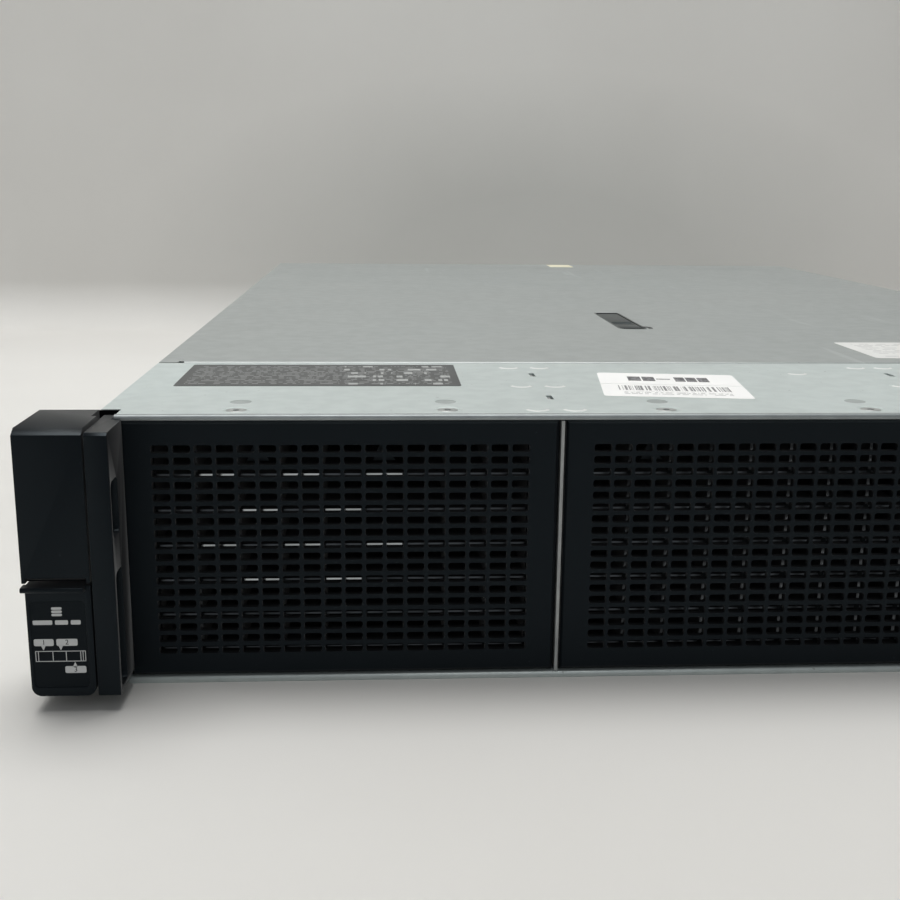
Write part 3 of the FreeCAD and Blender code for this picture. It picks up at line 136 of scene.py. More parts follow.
sweep_paper, tree, shader = new_material("sweep_paper")
clouds = ramp(tree, noise(tree, 2.6, 7.0), (0.35, (0.725, 0.713, 0.685)), (0.70, (0.785, 0.775, 0.748)))
place = tree.nodes.new("ShaderNodeTexCoord")
mapping = tree.nodes.new("ShaderNodeMapping")
mapping.vector_type = "TEXTURE"
mapping.inputs["Location"].default_value = (0.04, WALL_AT, 0.06)
mapping.inputs["Scale"].default_value = (0.46, 0.12, 0.22)
# Painted shadow: a round falloff darkens the paper's colour on the wall just behind the server.
ball = tree.nodes.new("ShaderNodeTexGradient")
ball.gradient_type = "SPHERICAL"
tree.links.new(place.outputs["Object"], mapping.inputs["Vector"])
tree.links.new(mapping.outputs["Vector"], ball.inputs["Vector"])
painted_wall_shadow = ramp(tree, ball.outputs[0], (0.0, (1.0, 1.0, 1.0)), (0.60, (0.80, 0.81, 0.81)))
greyed = tree.nodes.new("ShaderNodeVectorMath")
greyed.operation = "MULTIPLY"
tree.links.new(clouds, greyed.inputs[0])
tree.links.new(painted_wall_shadow, greyed.inputs[1])
tree.links.new(greyed.outputs[0], shader.inputs["Base Color"])
facing = tree.nodes.new("ShaderNodeNewGeometry")
clear = tree.nodes.new("ShaderNodeBsdfTransparent")
from_back = tree.nodes.new("ShaderNodeMixShader")
tree.links.new(facing.outputs["Backfacing"], from_back.inputs[0])
tree.links.new(shader.outputs[0], from_back.inputs[1])
tree.links.new(clear.outputs[0], from_back.inputs[2])
tree.links.new(from_back.outputs[0], tree.nodes["Material Output"].inputs["Surface"])
shader.inputs["Roughness"].default_value = 0.7
shader.inputs["Specular IOR Level"].default_value = 0.25
bm = bmesh.new()
ends = [bm.verts.new((x, WALL_AT - SWEEP_BEND, 0)) for x in (-SWEEP_WIDE / 2, SWEEP_WIDE / 2)]
seam = bm.edges.new(ends)
bent = bmesh.ops.spin(bm, geom=[seam], cent=(0, WALL_AT - SWEEP_BEND, SWEEP_BEND), axis=(1, 0, 0),
                      angle=pi / 2, steps=24)["geom_last"]
crest = [item for item in bent if isinstance(item, bmesh.types.BMEdge)][0]
for edge, end, axis in ((seam, SWEEP_NEAR, 1), (crest, WALL_HIGH, 2)):
    drawn = bmesh.ops.extrude_edge_only(bm, edges=[edge])["geom"]
    for v in [item for item in drawn if isinstance(item, bmesh.types.BMVert)]:
        v.co[axis] = end
bmesh.ops.recalc_face_normals(bm, faces=bm.faces)
if min(bm.faces, key=lambda f: f.calc_center_median().z).normal.z < 0:
    bmesh.ops.reverse_faces(bm, faces=bm.faces)
sweep = made("paper_sweep", bm, sweep_paper)
sweep.data.shade_smooth()

soft_lamp("ceiling_lamp", 41.5, 1.4, (-0.25, 0.12, 2.1), (-0.1, 0, 0), (1.0, 0.995, 0.985))
soft_lamp("front_lamp", 3.6, 1.6, (0.0, -2.2, 1.05), (0, FRONT, 0.04), (0.95, 0.98, 1.0))
world = bpy.data.worlds.new("room")
bpy.context.scene.world = world
world.use_nodes = True
world.node_tree.nodes["Background"].inputs["Color"].default_value = (0.93, 0.97, 1.0, 1.0)
world.node_tree.nodes["Background"].inputs["Strength"].default_value = 0.17
bpy.context.scene.view_settings.view_transform = "Standard"

camera_data = bpy.data.cameras.new("camera")
camera_data.lens = CAMERA_LENS
camera_data.sensor_width = 36.0
camera = linked("camera", camera_data)
aim = Matrix.Rotation(radians(-CAMERA_TURN), 4, "Z") @ Matrix.Rotation(radians(90 - CAMERA_DIP), 4, "X")
camera.matrix_world = Matrix.Translation(CAMERA_AT) @ aim @ Matrix.Rotation(radians(CAMERA_ROLL), 4, "Z")
bpy.context.scene.camera = camera


# ---- Folded steel chassis
# The pan, walls, cages and brackets are zinc coated steel sheet, cut and folded. The coat is a dull
# cool grey with faint spangles and rolling streaks, and it carries smudges, scuffs and specks of dirt.
ZINC_LIGHT = (0.605, 0.660, 0.650)
ZINC_DARK = (0.540, 0.595, 0.588)
ZINC_ROUGHNESS = 0.40
ZINC_METAL = 0.45


def new_group(name, inputs, outputs):
    """A shader node group with its sockets, and its input and output nodes."""
    group = bpy.data.node_groups.new(name, "ShaderNodeTree")
    for socket in inputs:
        group.interface.new_socket(name=socket, in_out="INPUT", socket_type="NodeSocketFloat")
    for socket in outputs:
        group.interface.new_socket(name=socket, in_out="OUTPUT", socket_type="NodeSocketFloat")
    return group, group.nodes.new("NodeGroupInput"), group.nodes.new("NodeGroupOutput")


def maths(tree, operation, first, second=0.0):
    """A math node on two sockets or numbers."""
    node = tree.nodes.new("ShaderNodeMath")
    node.operation = operation
    for socket, value in zip(node.inputs, (first, second)):
        if isinstance(value, (int, float)):
            socket.default_value = value
        else:
            tree.links.new(value, socket)
    return node.outputs[0]


def times(tree, first, second):
    """The product of two sockets or numbers."""
    return maths(tree, "MULTIPLY", first, second)


def mixed(tree, factor, first, second):
    """A colour mix of two sockets or colours by a factor."""
    node = tree.nodes.new("ShaderNodeMix")
    node.data_type = "RGBA"
    tree.links.new(factor, node.inputs["Factor"])
    colours = [socket for socket in node.inputs if socket.type == "RGBA"]
    for socket, value in zip(colours, (first, second)):
        if isinstance(value, tuple):
            socket.default_value = (*value, 1.0)
        else:
            tree.links.new(value, socket)
    return [socket for socket in node.outputs if socket.type == "RGBA"][0]


def bumped(tree, shader, height, strength, distance):
    """A bump from a height on the shader's normal."""
    bump = tree.nodes.new("ShaderNodeBump")
    bump.inputs["Strength"].default_value = strength
    bump.inputs["Distance"].default_value = distance
    tree.links.new(height, bump.inputs["Height"])
    tree.links.new(bump.outputs["Normal"], shader.inputs["Normal"])


def placed(tree, group, **values):
    """A node group placed in a material with its own values."""
    node = tree.nodes.new("ShaderNodeGroup")
    node.node_tree = group
    for name, value in values.items():
        node.inputs[name].default_value = value
    return node.outputs


HANDLING, entry, leave = new_group("handling_marks", ["Scale"], ["Smudge", "Scuff", "Speck"])
scale = entry.outputs["Scale"]
smudge = ramp(HANDLING, noise(HANDLING, scale, 6.0), (0.40, 0.0), (0.75, 1.0))
streak = ramp(HANDLING, noise(HANDLING, times(HANDLING, scale, 14.0), 2.0, (1.0, 0.07, 1.0)),
              (0.68, 0.0), (0.72, 1.0))
patch = ramp(HANDLING, noise(HANDLING, times(HANDLING, scale, 0.8), 2.0), (0.50, 0.0), (0.62, 1.0))
speck = ramp(HANDLING, noise(HANDLING, times(HANDLING, scale, 75.0), 1.0), (0.76, 0.0), (0.80, 1.0))
HANDLING.links.new(smudge, leave.inputs["Smudge"])
HANDLING.links.new(times(HANDLING, streak, patch), leave.inputs["Scuff"])
HANDLING.links.new(speck, leave.inputs["Speck"])


def zinc_sheet(name, light, dark, roughness, smudges, along=(1.0, 0.05, 1.0)):
    """Zinc coated steel: close greys in soft spangles and streaks, under marks of handling."""
    material, tree, shader = new_material(name)
    tone = ramp(tree, noise(tree, 140.0, 2.0), (0.36, dark), (0.64, light))
    streak = noise(tree, 70.0, 4.0, along)
    marks = placed(tree, HANDLING, Scale=6.0)
    tone = mixed(tree, times(tree, streak, 0.30), tone, light)
    tone = mixed(tree, times(tree, marks["Smudge"], smudges), tone, tuple(0.72 * c for c in dark))
    tone = mixed(tree, times(tree, marks["Scuff"], 0.35), tone, tuple(min(1.0, 1.25 * c) for c in light))
    tone = mixed(tree, times(tree, marks["Speck"], 0.40), tone, (0.16, 0.155, 0.15))
    tree.links.new(tone, shader.inputs["Base Color"])
    shader.inputs["Metallic"].default_value = ZINC_METAL
    shine = ramp(tree, marks["Smudge"], (0.0, roughness), (1.0, roughness + 0.16))
    tree.links.new(shine, shader.inputs["Roughness"])
    bumped(tree, shader, streak, 0.04, 0.0002)
    return material


def finished(material, *nodes):
    """CAD nodes that keep their shape and take a material."""
    for node in nodes:
        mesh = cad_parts[node].data
        mesh.materials.clear()
        mesh.materials.append(material)


ZINC = zinc_sheet("galvanised_sheet", ZINC_LIGHT, ZINC_DARK, ZINC_ROUGHNESS, 0.22)
finished(ZINC, "rear_wall", "fan_cage", "riser_cages", "supply_cage", "drive_cage")


def smoothed(piece, angle=30.0):
    """Smooth shading that breaks at edges sharper than an angle."""
    piece.data.shade_smooth()
    piece.data.set_sharp_from_angle(angle=radians(angle))
    return piece


def carried(piece, body, slot, *nodes):
    """A piece that rides on a body and stands for CAD nodes, which are hidden; slot is not used."""
    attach(piece, body)
    if nodes:
        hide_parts(*nodes)
    return piece


def merged_copy(node):
    """A bmesh of a CAD node with its doubles merged and its flat faces whole."""
    bm = bmesh.new()
    bm.from_mesh(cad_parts[node].data)
    bmesh.ops.remove_doubles(bm, verts=bm.verts, dist=1e-6)
    bmesh.ops.dissolve_limit(bm, angle_limit=radians(1.0), verts=bm.verts, edges=bm.edges)
    return bm


def softened(node, body, slot, material, width, segments=2):
    """A piece with a CAD node's shape and a small radius along its hard edges."""
    piece = made(node + "_shown", merged_copy(node), material)
    bevel = piece.modifiers.new("edge_radius", "BEVEL")
    bevel.width = width
    bevel.segments = segments
    bevel.limit_method = "ANGLE"
    bevel.angle_limit = radians(40)
    bevel.use_clamp_overlap = True
    bevel.harden_normals = True
    piece.data.shade_smooth()
    return carried(piece, body, slot, node)


DARK_STEEL = zinc_sheet("near_black_steel", (0.022, 0.024, 0.026), (0.016, 0.018, 0.020), 0.5, 0.10)
softened("chassis_pan", "chassis", "galvanised_steel", ZINC, 0.3 * MM)
# The ear brackets take a near-black steel, which keeps the notch beside each ear dark.
for side in ("left", "right"):
    finished(DARK_STEEL, side + "_ear_bracket")


# ---- Box walls
# Four upright sheets part the drive boxes. Their front edges are bare where the sheet was cut, and the
# middle two stand in slots of the top sheet with two tabs each, a little below its face.
TAB_DROP = 0.9 * MM


def clouded(name, grain, low, high, roughness, metallic=0.0, specular=0.5):
    """A plain material whose tone drifts between two stops; the grain is what noise takes."""
    material, tree, shader = new_material(name)
    tree.links.new(ramp(tree, noise(tree, *grain), low, high), shader.inputs["Base Color"])
    shader.inputs["Metallic"].default_value = metallic
    shader.inputs["Roughness"].default_value = roughness
    shader.inputs["Specular IOR Level"].default_value = specular
    return material


cut_steel = clouded("cut_steel_edge", (900.0, 2.0, (1.0, 1.0, 0.15)),
                    (0.35, (0.30, 0.31, 0.31)), (0.65, (0.42, 0.435, 0.43)), 0.55, 0.4)
bm = merged_copy("bay_walls")
bmesh.ops.bisect_plane(bm, geom=bm.verts[:] + bm.edges[:] + bm.faces[:], plane_co=(0, 0, TOP - TAB_DROP),
                       plane_no=(0, 0, 1), clear_outer=True)
bmesh.ops.holes_fill(bm, edges=[e for e in bm.edges if e.is_boundary])
carried(made("bay_walls_shown", bm, cut_steel), "chassis", "galvanised_steel", "bay_walls")


# ---- Front top sheet
# A fixed plate over the drive boxes, with its front edge folded under into a rolled hem that stands a
# hair over it. It has six countersunk screws with a round hole behind each, drawn as a near-flush disc
# of darker zinc that is painted shade of the hole. It has round bumps pressed up from below, whose front
# slopes carry a painted highlight, and the slots of the box walls' tabs.
STEP = 0.25 * MM
SKIN = TOP - STEP
SHEET = 1.2 * MM
HEM_RIDGE = 2.6 * MM
HEM_LAP = 0.3 * MM
NOTCH_X = HALF - 6.2 * MM
NOTCH_Y = FRONT + 11.0 * MM
BACK = front_high.y
SCREW_XS = [x * MM for x in (-181.0, -114.5, -44.3, 22.7, 94.0, 161.0)]
SCREW_Y = FRONT + 10.6 * MM
HOLE_Y = FRONT + 23.5 * MM
BUMP = 4.0 * MM
BUMPS = [(x * MM, FRONT + y * MM) for x, y in (
    (-86.0, 96.2), (-74.0, 96.2), (-86.0, 54.2), (-74.0, 54.2), (-86.0, 10.2), (-74.0, 10.2),
    (52.0, 96.2), (63.0, 96.2), (52.0, 54.2), (63.0, 54.2), (52.0, 10.2), (63.0, 10.2), (23.4, 82.0))]
walls_low, walls_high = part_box("bay_walls")
WALL_PITCH = (walls_high.x - walls_low.x - 1.0 * MM) / 3
TAB_XS = [walls_low.x + k * WALL_PITCH + 0.5 * MM for k in (1, 2)]
TAB_YS = [FRONT + y * MM for y in (31.2, 78.3)]


def corners(x0, x1, y0, y1):
    """The four corners of a rectangle."""
    return [(x0, y0), (x1, y0), (x1, y1), (x0, y1)]


def circle(x, y, radius, steps=28):
    """Points round a circle."""
    angles = [2 * pi * k / steps for k in range(steps)]
    return [(x + radius * cos(angle), y + radius * sin(angle)) for angle in angles]


def drawn_out(bm, faces, move):
    """Faces drawn out by a move into closed solids, with all normals outward."""
    drawn = bmesh.ops.extrude_face_region(bm, geom=faces)["geom"]
    moved = [item for item in drawn if isinstance(item, bmesh.types.BMVert)]
    bmesh.ops.translate(bm, vec=move, verts=moved)
    bmesh.ops.recalc_face_normals(bm, faces=bm.faces)


def bar_along(bm, start, length, profile):
    """A bar of one section drawn along X from a start; the section is in millimetres from the top front."""
    ring = [bm.verts.new((start.x, start.y + y * MM, start.z + z * MM)) for y, z in profile]
    drawn_out(bm, [bm.faces.new(ring)], (length, 0, 0))


def plate(bm, outline, holes, top, bottom):
    """A flat slab with holes, from closed outlines of (x, y) points."""
    edges = []
    for loop in [outline] + holes:
        ring = [bm.verts.new((x, y, top)) for x, y in loop]
        edges += [bm.edges.new(pair) for pair in zip(ring, ring[1:] + ring[:1])]
    filled = bmesh.ops.triangle_fill(bm, use_beauty=True, edges=edges, normal=(0, 0, 1))["geom"]
    faces = [item for item in filled if isinstance(item, bmesh.types.BMFace)]
    drawn_out(bm, faces, (0, 0, bottom - top))


def turned(bm, profile, centre, steps=28, tilt=None):
    """A surface spun from (radius, height) points, set at a centre with its axis up or tilted."""
    start = [bm.verts.new((radius, 0, height)) for radius, height in profile]
    geom = start + [bm.edges.new(pair) for pair in zip(start, start[1:])]
    known = set(bm.verts) - set(start)
    bmesh.ops.spin(bm, geom=geom, cent=(0, 0, 0), axis=(0, 0, 1), angle=2 * pi, steps=steps, use_merge=True)
    spun = [v for v in bm.verts if v not in known]
    bmesh.ops.remove_doubles(bm, verts=spun, dist=1e-7)
    spun = [v for v in bm.verts if v not in known]
    bmesh.ops.recalc_face_normals(bm, faces=list({f for v in spun for f in v.link_faces}))
    bmesh.ops.transform(bm, matrix=Matrix.Translation(centre) @ (tilt or Matrix.Identity(4)), verts=spun)
    return spun


def block(bm, low, high, radius=0.0, segments=2):
    """A box between two corners, with its edges rounded."""
    low, high = Vector(low), Vector(high)
    size = high - low
    place = Matrix.Translation((low + high) / 2) @ Matrix.Diagonal((*size, 1.0))
    verts = bmesh.ops.create_cube(bm, size=1.0, matrix=place)["verts"]
    if radius:
        edges = list({edge for v in verts for edge in v.link_edges})
        bmesh.ops.bevel(bm, geom=edges, offset=radius, segments=segments, profile=0.5,
                        affect="EDGES", clamp_overlap=True, material=-1)
    return verts


bm = bmesh.new()
lap = FRONT + HEM_RIDGE - HEM_LAP
outline = [(-NOTCH_X, lap), (NOTCH_X, lap), (NOTCH_X, NOTCH_Y), (HALF, NOTCH_Y), (HALF, BACK),
           (-HALF, BACK), (-HALF, NOTCH_Y), (-NOTCH_X, NOTCH_Y)]
holes = [circle(x, SCREW_Y, 4.4 * MM) for x in SCREW_XS]
holes += [circle(x, HOLE_Y, 3.5 * MM) for x in SCREW_XS]
holes += [circle(x, y, BUMP) for x, y in BUMPS]
holes += [corners(x - 1.0 * MM, x + 1.0 * MM, y - 3.5 * MM, y + 3.5 * MM) for x in TAB_XS for y in TAB_YS]
plate(bm, outline, holes, SKIN, TOP - SHEET)
for x in SCREW_XS:
    turned(bm, [(4.4 * MM, TOP - SHEET), (4.4 * MM, SKIN), (4.0 * MM, SKIN - 0.10 * MM),
                (3.3 * MM, SKIN - 0.25 * MM), (3.3 * MM, TOP - SHEET)], (x, SCREW_Y, 0))
for side in (-1, 1):
    x0, x1 = sorted((side * (HALF - SHEET), side * (HALF - 2 * SHEET)))
    block(bm, (x0, FRONT + 15.5 * MM, TOP - SHEET - 10.0 * MM), (x1, BACK, TOP - SHEET))
bmesh.ops.recalc_face_normals(bm, faces=bm.faces)
TOP_SHEET = zinc_sheet("top_sheet", (0.625, 0.690, 0.680), (0.565, 0.628, 0.620), 0.38, 0.16)
top_sheet = smoothed(made("front_top_shown", bm, TOP_SHEET), 35)
carried(top_sheet, "chassis", "galvanised_steel", "front_top")

# Painted shade: the discs in the round holes take a darker zinc that stands for the shade inside them.
HOLE_SHADE_ZINC = zinc_sheet("zinc_painted_hole_shade", (0.40, 0.435, 0.43), (0.34, 0.375, 0.37), 0.5, 0.20)
bm = bmesh.new()
for x in SCREW_XS:
    turned(bm, [(3.45 * MM, TOP - SHEET), (3.45 * MM, SKIN - 0.06 * MM), (0.0, SKIN - 0.06 * MM)],
           (x, HOLE_Y, 0))
carried(smoothed(made("top_sheet_hole_discs", bm, HOLE_SHADE_ZINC)), "chassis", "galvanised_steel")

HEM_ZINC = zinc_sheet("hem_zinc", (0.33, 0.36, 0.365), (0.28, 0.305, 0.31), 0.45, 0.20)
profile = [(0.0, -0.95), (0.08, -0.55), (0.35, -0.2), (0.8, -0.03), (1.2, 0.0), (2.2, 0.0), (2.6, -0.25),
           (2.6, -1.2), (8.0, -1.2), (8.0, -1.8), (0.7, -1.8), (0.2, -1.6), (0.0, -1.25)]
bm = bmesh.new()
bar_along(bm, Vector((-NOTCH_X, FRONT, TOP)), 2 * NOTCH_X, profile)
carried(smoothed(made("front_hem", bm, HEM_ZINC), 35), "chassis", "galvanised_steel")

# Painted highlight: the bumps' front-facing slopes take a much lighter zinc as a glint.
GLINT_ZINC = zinc_sheet("zinc_painted_glint", (0.90, 0.92, 0.91), (0.82, 0.84, 0.83), 0.3, 0.0)
bm = bmesh.new()
for x, y in BUMPS:
    turned(bm, [(BUMP, TOP - SHEET), (BUMP, SKIN), (BUMP - 0.5 * MM, SKIN + 0.14 * MM),
                (BUMP - 1.0 * MM, TOP - 0.03 * MM), (BUMP - 1.6 * MM, TOP), (0.0, TOP)], (x, y, 0))
for face in bm.faces:
    face.material_index = int(face.normal.y < -0.05)
carried(smoothed(made("top_sheet_bumps", bm, TOP_SHEET, GLINT_ZINC)), "chassis", "galvanised_steel")

bm = bmesh.new()
for x in SCREW_XS:
    turned(bm, [(3.2 * MM, TOP - SHEET), (3.2 * MM, SKIN - 0.30 * MM), (3.05 * MM, SKIN - 0.20 * MM),
                (1.1 * MM, SKIN - 0.20 * MM), (1.0 * MM, SKIN - 0.6 * MM), (0.0, SKIN - 0.6 * MM)],
           (x, SCREW_Y, 0), steps=24)
screw_steel = clouded("screw_steel", (700.0, 3.0), (0.35, (0.40, 0.42, 0.42)), (0.65, (0.55, 0.57, 0.56)),
                      0.35, 0.8)
carried(smoothed(made("top_sheet_screws", bm, screw_steel)), "chassis", "bright_steel")


# ---- Paper and film labels
# Two labels lie on the front top sheet: a grey film with rows of fine pale print, and a white paper one
# cut in two across. Their print is plain rows, blocks and bars.
LABEL = 0.1 * MM
FILM_BOX = (-207.9 * MM, -107.2 * MM, FRONT + 53.5 * MM, FRONT + 102.3 * MM)
PAPER_CENTRE = (-31.7 * MM, FRONT + 55.3 * MM)
PAPER_TURN = radians(-7.3)
PAPER_WIDE = 50.6 * MM


PRINT, entry, leave = new_group("rows_of_print", ["X", "Y", "Row", "Word", "Fill"], ["Ink"])
row = maths(PRINT, "DIVIDE", entry.outputs["Y"], entry.outputs["Row"])
number = maths(PRINT, "FLOOR", row)
within = maths(PRINT, "SUBTRACT", row, number)
line = times(PRINT, maths(PRINT, "GREATER_THAN", within, 0.25), maths(PRINT, "LESS_THAN", within, 0.75))
joint = PRINT.nodes.new("ShaderNodeCombineXYZ")
PRINT.links.new(maths(PRINT, "DIVIDE", entry.outputs["X"], entry.outputs["Word"]), joint.inputs["X"])
PRINT.links.new(times(PRINT, number, 7.31), joint.inputs["Y"])
texture = PRINT.nodes.new("ShaderNodeTexNoise")
texture.inputs["Scale"].default_value = 1.0
texture.inputs["Detail"].default_value = 2.0
PRINT.links.new(joint.outputs["Vector"], texture.inputs["Vector"])
word = maths(PRINT, "LESS_THAN", texture.outputs[0], entry.outputs["Fill"])
PRINT.links.new(times(PRINT, line, word), leave.inputs["Ink"])


def label_place(tree, centre, turn):
    """Object coordinates moved and turned to a label's own middle and sides."""
    place = tree.nodes.new("ShaderNodeTexCoord")
    mapping = tree.nodes.new("ShaderNodeMapping")
    mapping.vector_type = "TEXTURE"
    mapping.inputs["Location"].default_value = (centre[0], centre[1], 0.0)
    mapping.inputs["Rotation"].default_value = (0.0, 0.0, turn)
    tree.links.new(place.outputs["Object"], mapping.inputs["Vector"])
    apart = tree.nodes.new("ShaderNodeSeparateXYZ")
    tree.links.new(mapping.outputs["Vector"], apart.inputs["Vector"])
    return apart.outputs["X"], apart.outputs["Y"]


def printed(tree, x, y, row, word, fill):
    """The ink of one field of print."""
    node = tree.nodes.new("ShaderNodeGroup")
    node.node_tree = PRINT
    tree.links.new(x, node.inputs["X"])
    tree.links.new(y, node.inputs["Y"])
    for name, value in (("Row", row), ("Word", word), ("Fill", fill)):
        node.inputs[name].default_value = value
    return node.outputs["Ink"]


def between(tree, value, low, high):
    """A mask that is one between two limits."""
    return times(tree, maths(tree, "GREATER_THAN", value, low), maths(tree, "LESS_THAN", value, high))


def rounded_corners(x0, x1, y0, y1, radii, steps=5):
    """A rectangle with its four corners rounded, from the low left one on."""
    radii = radii if isinstance(radii, (list, tuple)) else [radii] * 4
    places = [(x0, y0, 1, 1, 180), (x1, y0, -1, 1, 270), (x1, y1, -1, -1, 0), (x0, y1, 1, -1, 90)]
    points = []
    for (x, y, right, up, start), radius in zip(places, radii):
        if not radius:
            points.append((x, y))
            continue
        cx, cy = x + right * radius, y + up * radius
        points += [(cx + radius * cos(radians(start + 90 * k / steps)),
                    cy + radius * sin(radians(start + 90 * k / steps))) for k in range(steps + 1)]
    return points


film, tree, shader = new_material("grey_film_print")
x, y = label_place(tree, ((FILM_BOX[0] + FILM_BOX[1]) / 2, (FILM_BOX[2] + FILM_BOX[3]) / 2), 0.0)
fine = printed(tree, x, y, 3.0 * MM, 2.2 * MM, 0.50)
marks = printed(tree, x, y, 8.0 * MM, 5.0 * MM, 0.45)
right = maths(tree, "GREATER_THAN", x, 8.0 * MM)
inside = times(tree, between(tree, x, -47.5 * MM, 47.5 * MM), between(tree, y, -21.5 * MM, 21.0 * MM))
ink = maths(tree, "MAXIMUM", times(tree, fine, 0.45), times(tree, times(tree, marks, right), 0.9))
tone = ramp(tree, noise(tree, 60.0, 4.0), (0.35, (0.046, 0.051, 0.052)), (0.65, (0.062, 0.068, 0.069)))
tone = mixed(tree, times(tree, ink, inside), tone, (0.44, 0.455, 0.45))
tree.links.new(tone, shader.inputs["Base Color"])
shader.inputs["Roughness"].default_value = 0.42
bm = bmesh.new()
plate(bm, rounded_corners(*FILM_BOX, 1.2 * MM), [], SKIN + LABEL, SKIN)
carried(made("film_label", bm, film), "chassis", "module_laminate")

paper, tree, shader = new_material("white_paper_print")
x, y = label_place(tree, PAPER_CENTRE, PAPER_TURN)
texture = tree.nodes.new("ShaderNodeTexNoise")
texture.noise_dimensions = "1D"
texture.inputs["Scale"].default_value = 1.0
texture.inputs["Detail"].default_value = 3.0
tree.links.new(maths(tree, "DIVIDE", x, 0.9 * MM), texture.inputs["W"])
dark = maths(tree, "GREATER_THAN", texture.outputs[0], 0.5)
bars = times(tree, dark, between(tree, y, -12.5 * MM, -3.0 * MM))
bars = times(tree, bars, between(tree, x, -19.3 * MM, 19.5 * MM))
small = times(tree, printed(tree, x, y, 2.6 * MM, 1.3 * MM, 0.53), between(tree, y, -20.0 * MM, -14.5 * MM))
small = times(tree, small, between(tree, x, -18.0 * MM, 19.0 * MM))
ink = maths(tree, "MAXIMUM", times(tree, bars, 0.85), times(tree, small, 0.55))
tone = ramp(tree, noise(tree, 40.0, 5.0), (0.3, (0.90, 0.90, 0.89)), (0.7, (0.95, 0.95, 0.94)))
tone = mixed(tree, ink, tone, (0.10, 0.10, 0.105))
tree.links.new(tone, shader.inputs["Base Color"])
shader.inputs["Roughness"].default_value = 0.55
bm = bmesh.new()
half = PAPER_WIDE / 2
plate(bm, rounded_corners(-half, half, 0.35 * MM, 25.0 * MM, [0, 0, 1.6 * MM, 1.6 * MM]), [], LABEL, 0.0)
plate(bm, rounded_corners(-half, half, -25.0 * MM, -0.15 * MM, [1.6 * MM, 1.6 * MM, 0, 0]), [], LABEL, 0.0)
lie = Matrix.Translation((*PAPER_CENTRE, SKIN)) @ Matrix.Rotation(PAPER_TURN, 4, "Z")
bmesh.ops.transform(bm, matrix=lie, verts=bm.verts)
carried(made("paper_label", bm, paper), "chassis", "lens_plastic")

bm = bmesh.new()
for start, width in ((-14.6, 4.7), (-9.3, 4.5), (2.5, 3.7), (6.7, 3.7), (10.9, 3.9)):
    block(bm, (start * MM, 7.6 * MM, LABEL), ((start + width) * MM, 17.0 * MM, LABEL + 0.02 * MM))
block(bm, (-4.2 * MM, 11.5 * MM, LABEL), (0.9 * MM, 13.1 * MM, LABEL + 0.02 * MM))
bmesh.ops.transform(bm, matrix=lie, verts=bm.verts)
ink_print = clouded("printed_blocks", (900.0, 2.0), (0.40, (0.055, 0.055, 0.06)), (0.62, (0.26, 0.26, 0.27)),
                    0.6)
carried(made("paper_label_blocks", bm, ink_print), "chassis", "black_plastic")


# ---- Lid
# The access panel is a plain steel sheet, a little darker than the fixed sheet, with flanges that hang
# inside the walls. A low ridge runs along its front edge and starts at a small notch. A printed white
# label and a strip of cream tape lie on it.
COVER_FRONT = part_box("access_panel")[0].y
COVER_SHEET = 1.0 * MM
RIDGE_START = -213.0 * MM
RIDGE_DEEP = 1.6 * MM
NOTCH_WIDE = 2.4 * MM
NOTCH_DEEP = 3.4 * MM
FLANGE_DROP = 10.0 * MM
cup_low, cup_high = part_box("latch_cup")
LATCH_X = (cup_low.x + 4.2 * MM, cup_high.x - 5.4 * MM)
LATCH_Y = (cup_low.y + 6.9 * MM, cup_high.y - 5.0 * MM)
LATCH_ROUND = [4.5 * MM, 1.2 * MM, 1.2 * MM, 1.2 * MM]
LID_LABEL = (72.0 * MM, FRONT + 121.5 * MM, 100.0 * MM, 49.3 * MM)
LID_TAPE = (11.0 * MM, 31.0 * MM, FRONT + 657.0 * MM, REAR - 1.5 * MM)

LID = zinc_sheet("lid_sheet", (0.415, 0.443, 0.438), (0.370, 0.398, 0.392), 0.40, 0.30)
bm = bmesh.new()
notch_x, notch_y, ridge_y = RIDGE_START - NOTCH_WIDE, COVER_FRONT + NOTCH_DEEP, COVER_FRONT + RIDGE_DEEP
outline = [(-HALF, COVER_FRONT), (notch_x, COVER_FRONT), (notch_x, notch_y), (RIDGE_START, notch_y),
           (RIDGE_START, ridge_y), (HALF, ridge_y), (HALF, REAR), (-HALF, REAR)]
plate(bm, outline, [rounded_corners(*LATCH_X, *LATCH_Y, LATCH_ROUND)], SKIN, TOP - COVER_SHEET)
profile = [(0.0, -1.0), (0.0, -0.75), (0.15, -0.45), (0.5, -0.12), (0.9, 0.0), (1.5, 0.0), (1.9, -0.12),
           (2.2, -0.25), (2.2, -1.0)]
bar_along(bm, Vector((RIDGE_START, COVER_FRONT, TOP)), HALF - RIDGE_START, profile)
for side in (-1, 1):
    x0, x1 = sorted((side * (HALF - 1.5 * MM), side * (HALF - 2.5 * MM)))
    block(bm, (x0, COVER_FRONT + 4.0 * MM, TOP - FLANGE_DROP), (x1, REAR - 30.0 * MM, TOP - COVER_SHEET))
bmesh.ops.recalc_face_normals(bm, faces=bm.faces)
lid = smoothed(made("access_panel_shown", bm, LID), 35)
carried(lid, "cover", "cover_steel", "access_panel")

